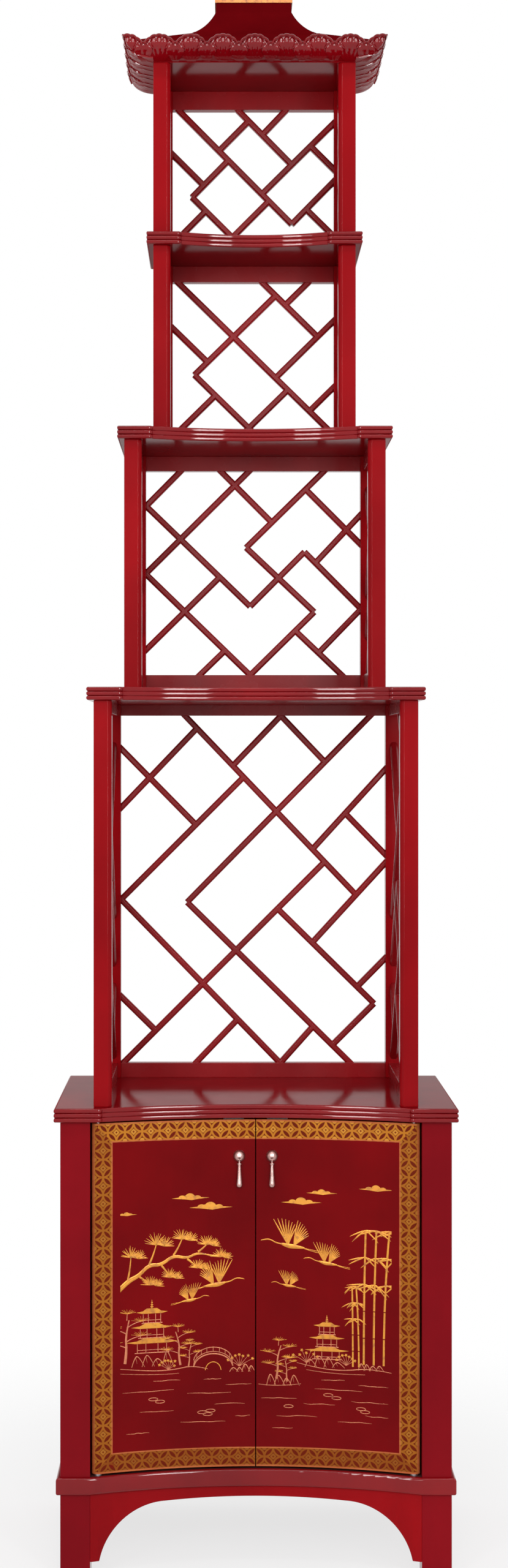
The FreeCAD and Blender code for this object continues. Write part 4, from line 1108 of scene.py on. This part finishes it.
def paintDoor(side, sign, paint):
    bm = bmesh.new()
    bm.from_mesh(brushed(onSide(strokes, paint, sign)))
    for vert in bm.verts:
        vert.co.z *= painting["flatten"]
    for points, _ in onSide(patches, paint, sign):
        face = bm.faces.new([bm.verts.new((u, v, 0)) for u, v in points])
        lifted = bmesh.ops.extrude_face_region(bm, geom=[face])["geom"]
        for vert in only(lifted, bmesh.types.BMVert):
            vert.co.z = painting["patchHigh"]
    # trimmed to the door, and cut across so that it follows the hollow
    for place, way in ((painting["nearest"], -1), (painting["furthest"], 1)):
        cut(bm, (sign * place, 0, 0), (sign * way, 0, 0))
    for u in range(painting["cutEvery"], 200, painting["cutEvery"]):
        cut(bm, (sign * u, 0, 0), (1, 0, 0), False)
    fillHoles(bm)
    bmesh.ops.triangulate(bm, faces=[face for face in bm.faces if len(face.verts) > 4])
    for vert in bm.verts:
        wrapped(vert)
    faceOut(bm)
    settle(f"{paint}_painting_{side}", bm, f"door_{side}", finishes[f"{paint}Paint"],
           standsFor=False)


for motif, rows in doorScene:
    for row in rows:
        motif(*row)
for side, sign in sides:
    paintDoor(side, sign, "gold")
    paintDoor(side, sign, "pale")
print("painting made:", len(strokes), "strokes and", len(patches), "patches")


# floor, lights and camera

floorLook = dict(
    radius=1.9, fadeFrom=0.4, fadeTo=1.3, glow=0.72, pale=0.93, patchScale=3, patchShare=0.02)


def paleFloor():
    look = floorLook
    bm = bmesh.new()
    bmesh.ops.create_circle(bm, cap_ends=True, segments=96, radius=look["radius"])
    floor = inScene("floor", asMesh(bm, "floor"))
    finish = Finish("paleFloor", Roughness=0.8, Specular_IOR_Level=0.1, Emission_Strength=1)
    seen, pale, glow = finish.seen(), look["pale"], look["glow"]
    finish.put("Base Color", finish.mix(seen, [pale] * 3 + [1], [pale * (1 - glow)] * 3 + [1]))
    finish.put("Emission Color", finish.mix(seen, (0, 0, 0, 1), [glow] * 3 + [1]))
    fade = finish.node("MapRange", {"interpolation_type": "SMOOTHSTEP"},
                       finish.length(finish.place), look["fadeFrom"], look["fadeTo"], 1.0, 0.0)
    finish.put("Alpha", fade * (finish.noise(look["patchScale"]) * look["patchShare"]
                                + (1 - look["patchShare"] / 2)))
    floor.data.materials.append(finish.material)


# each lamp's name, place, aim, width and height, then its power in watts, or its gleam,
# which is how bright it is in a reflection
studio = {"worldLight": 0.55, "lamps": (
    ("strip_left", (-1.35, -2.9, 2.2), (0, 0, 1.15), 0.42, 1.5, dict(power=12)),
    ("strip_right", (1.12, -2.9, 2.2), (0, 0, 1.15), 0.30, 1.5, dict(power=12)),
    ("fill", (-0.05, -3.7, 1.9), (0, 0, 1.6), 1.4, 1.4, dict(power=36, glossy=False)),
    ("overhead", (0, -1.3, 3.5), (0, 0, 1.8), 1.0, 0.3, dict(power=9)),
    ("window_left", (-0.98, -2.9, 2.1), (0, 0, 2.0), 0.5, 2.8, dict(gleam=20)),
    ("window_right", (0.92, -2.9, 2.1), (0, 0, 2.0), 0.56, 2.8, dict(gleam=20)),
    ("ceiling", (0, 0.1, 4.4), (0, 0, 2), 2.2, 0.8, dict(gleam=6)))}


def softbox(name, place, aim, wide, tall, power=0, gleam=0, glossy=True):
    lamp = bpy.data.lights.new(name, "AREA")
    lamp.shape, lamp.size, lamp.size_y = "RECTANGLE", wide, tall
    lamp.energy = power or gleam * pi * wide * tall
    holder = inScene(name, lamp)
    holder.location = place
    holder.rotation_euler = (Vector(aim) - Vector(place)).to_track_quat("-Z", "Y").to_euler()
    holder.visible_camera = False
    holder.visible_diffuse, holder.visible_glossy = not gleam, glossy


def paleWorld():
    # white where it is seen, and softer as a light
    scene.world = bpy.data.worlds.new("studio")
    scene.world.use_nodes = True
    maker = Maker(scene.world.node_tree)
    maker.tree.nodes.clear()
    shades = [maker.node("Background", {}, (1, 1, 1, 1), strength)
              for strength in (studio["worldLight"], 1.0)]
    both = maker.node("MixShader", {}, maker.seen(), *shades)
    maker.feed(maker.tree.nodes.new("ShaderNodeOutputWorld").inputs["Surface"], both)


photoView = dict(
    place=(-0.0475, -3.578, 1.1836), fieldHigh=2.2528, distance=3.4, vanish=(364, 1235),
    size=(829, 2560), sensor=36)


def photoCamera():
    view = photoView
    lens = bpy.data.cameras.new("photoView")
    lens.sensor_fit = "AUTO"
    lens.sensor_width = view["sensor"]
    lens.lens = view["sensor"] * view["distance"] / view["fieldHigh"]
    wide, high = view["size"]
    lens.shift_x = (wide / 2 - view["vanish"][0]) / high
    lens.shift_y = (view["vanish"][1] - high / 2) / high
    lens.clip_start, lens.clip_end = 0.05, 60
    camera = inScene("photoView", lens)
    camera.location = view["place"]
    camera.rotation_euler = (pi / 2, 0, 0)
    scene.camera = camera


paleFloor()
paleWorld()
for *spot, light in studio["lamps"]:
    softbox(*spot, **light)
photoCamera()
print("stage made")
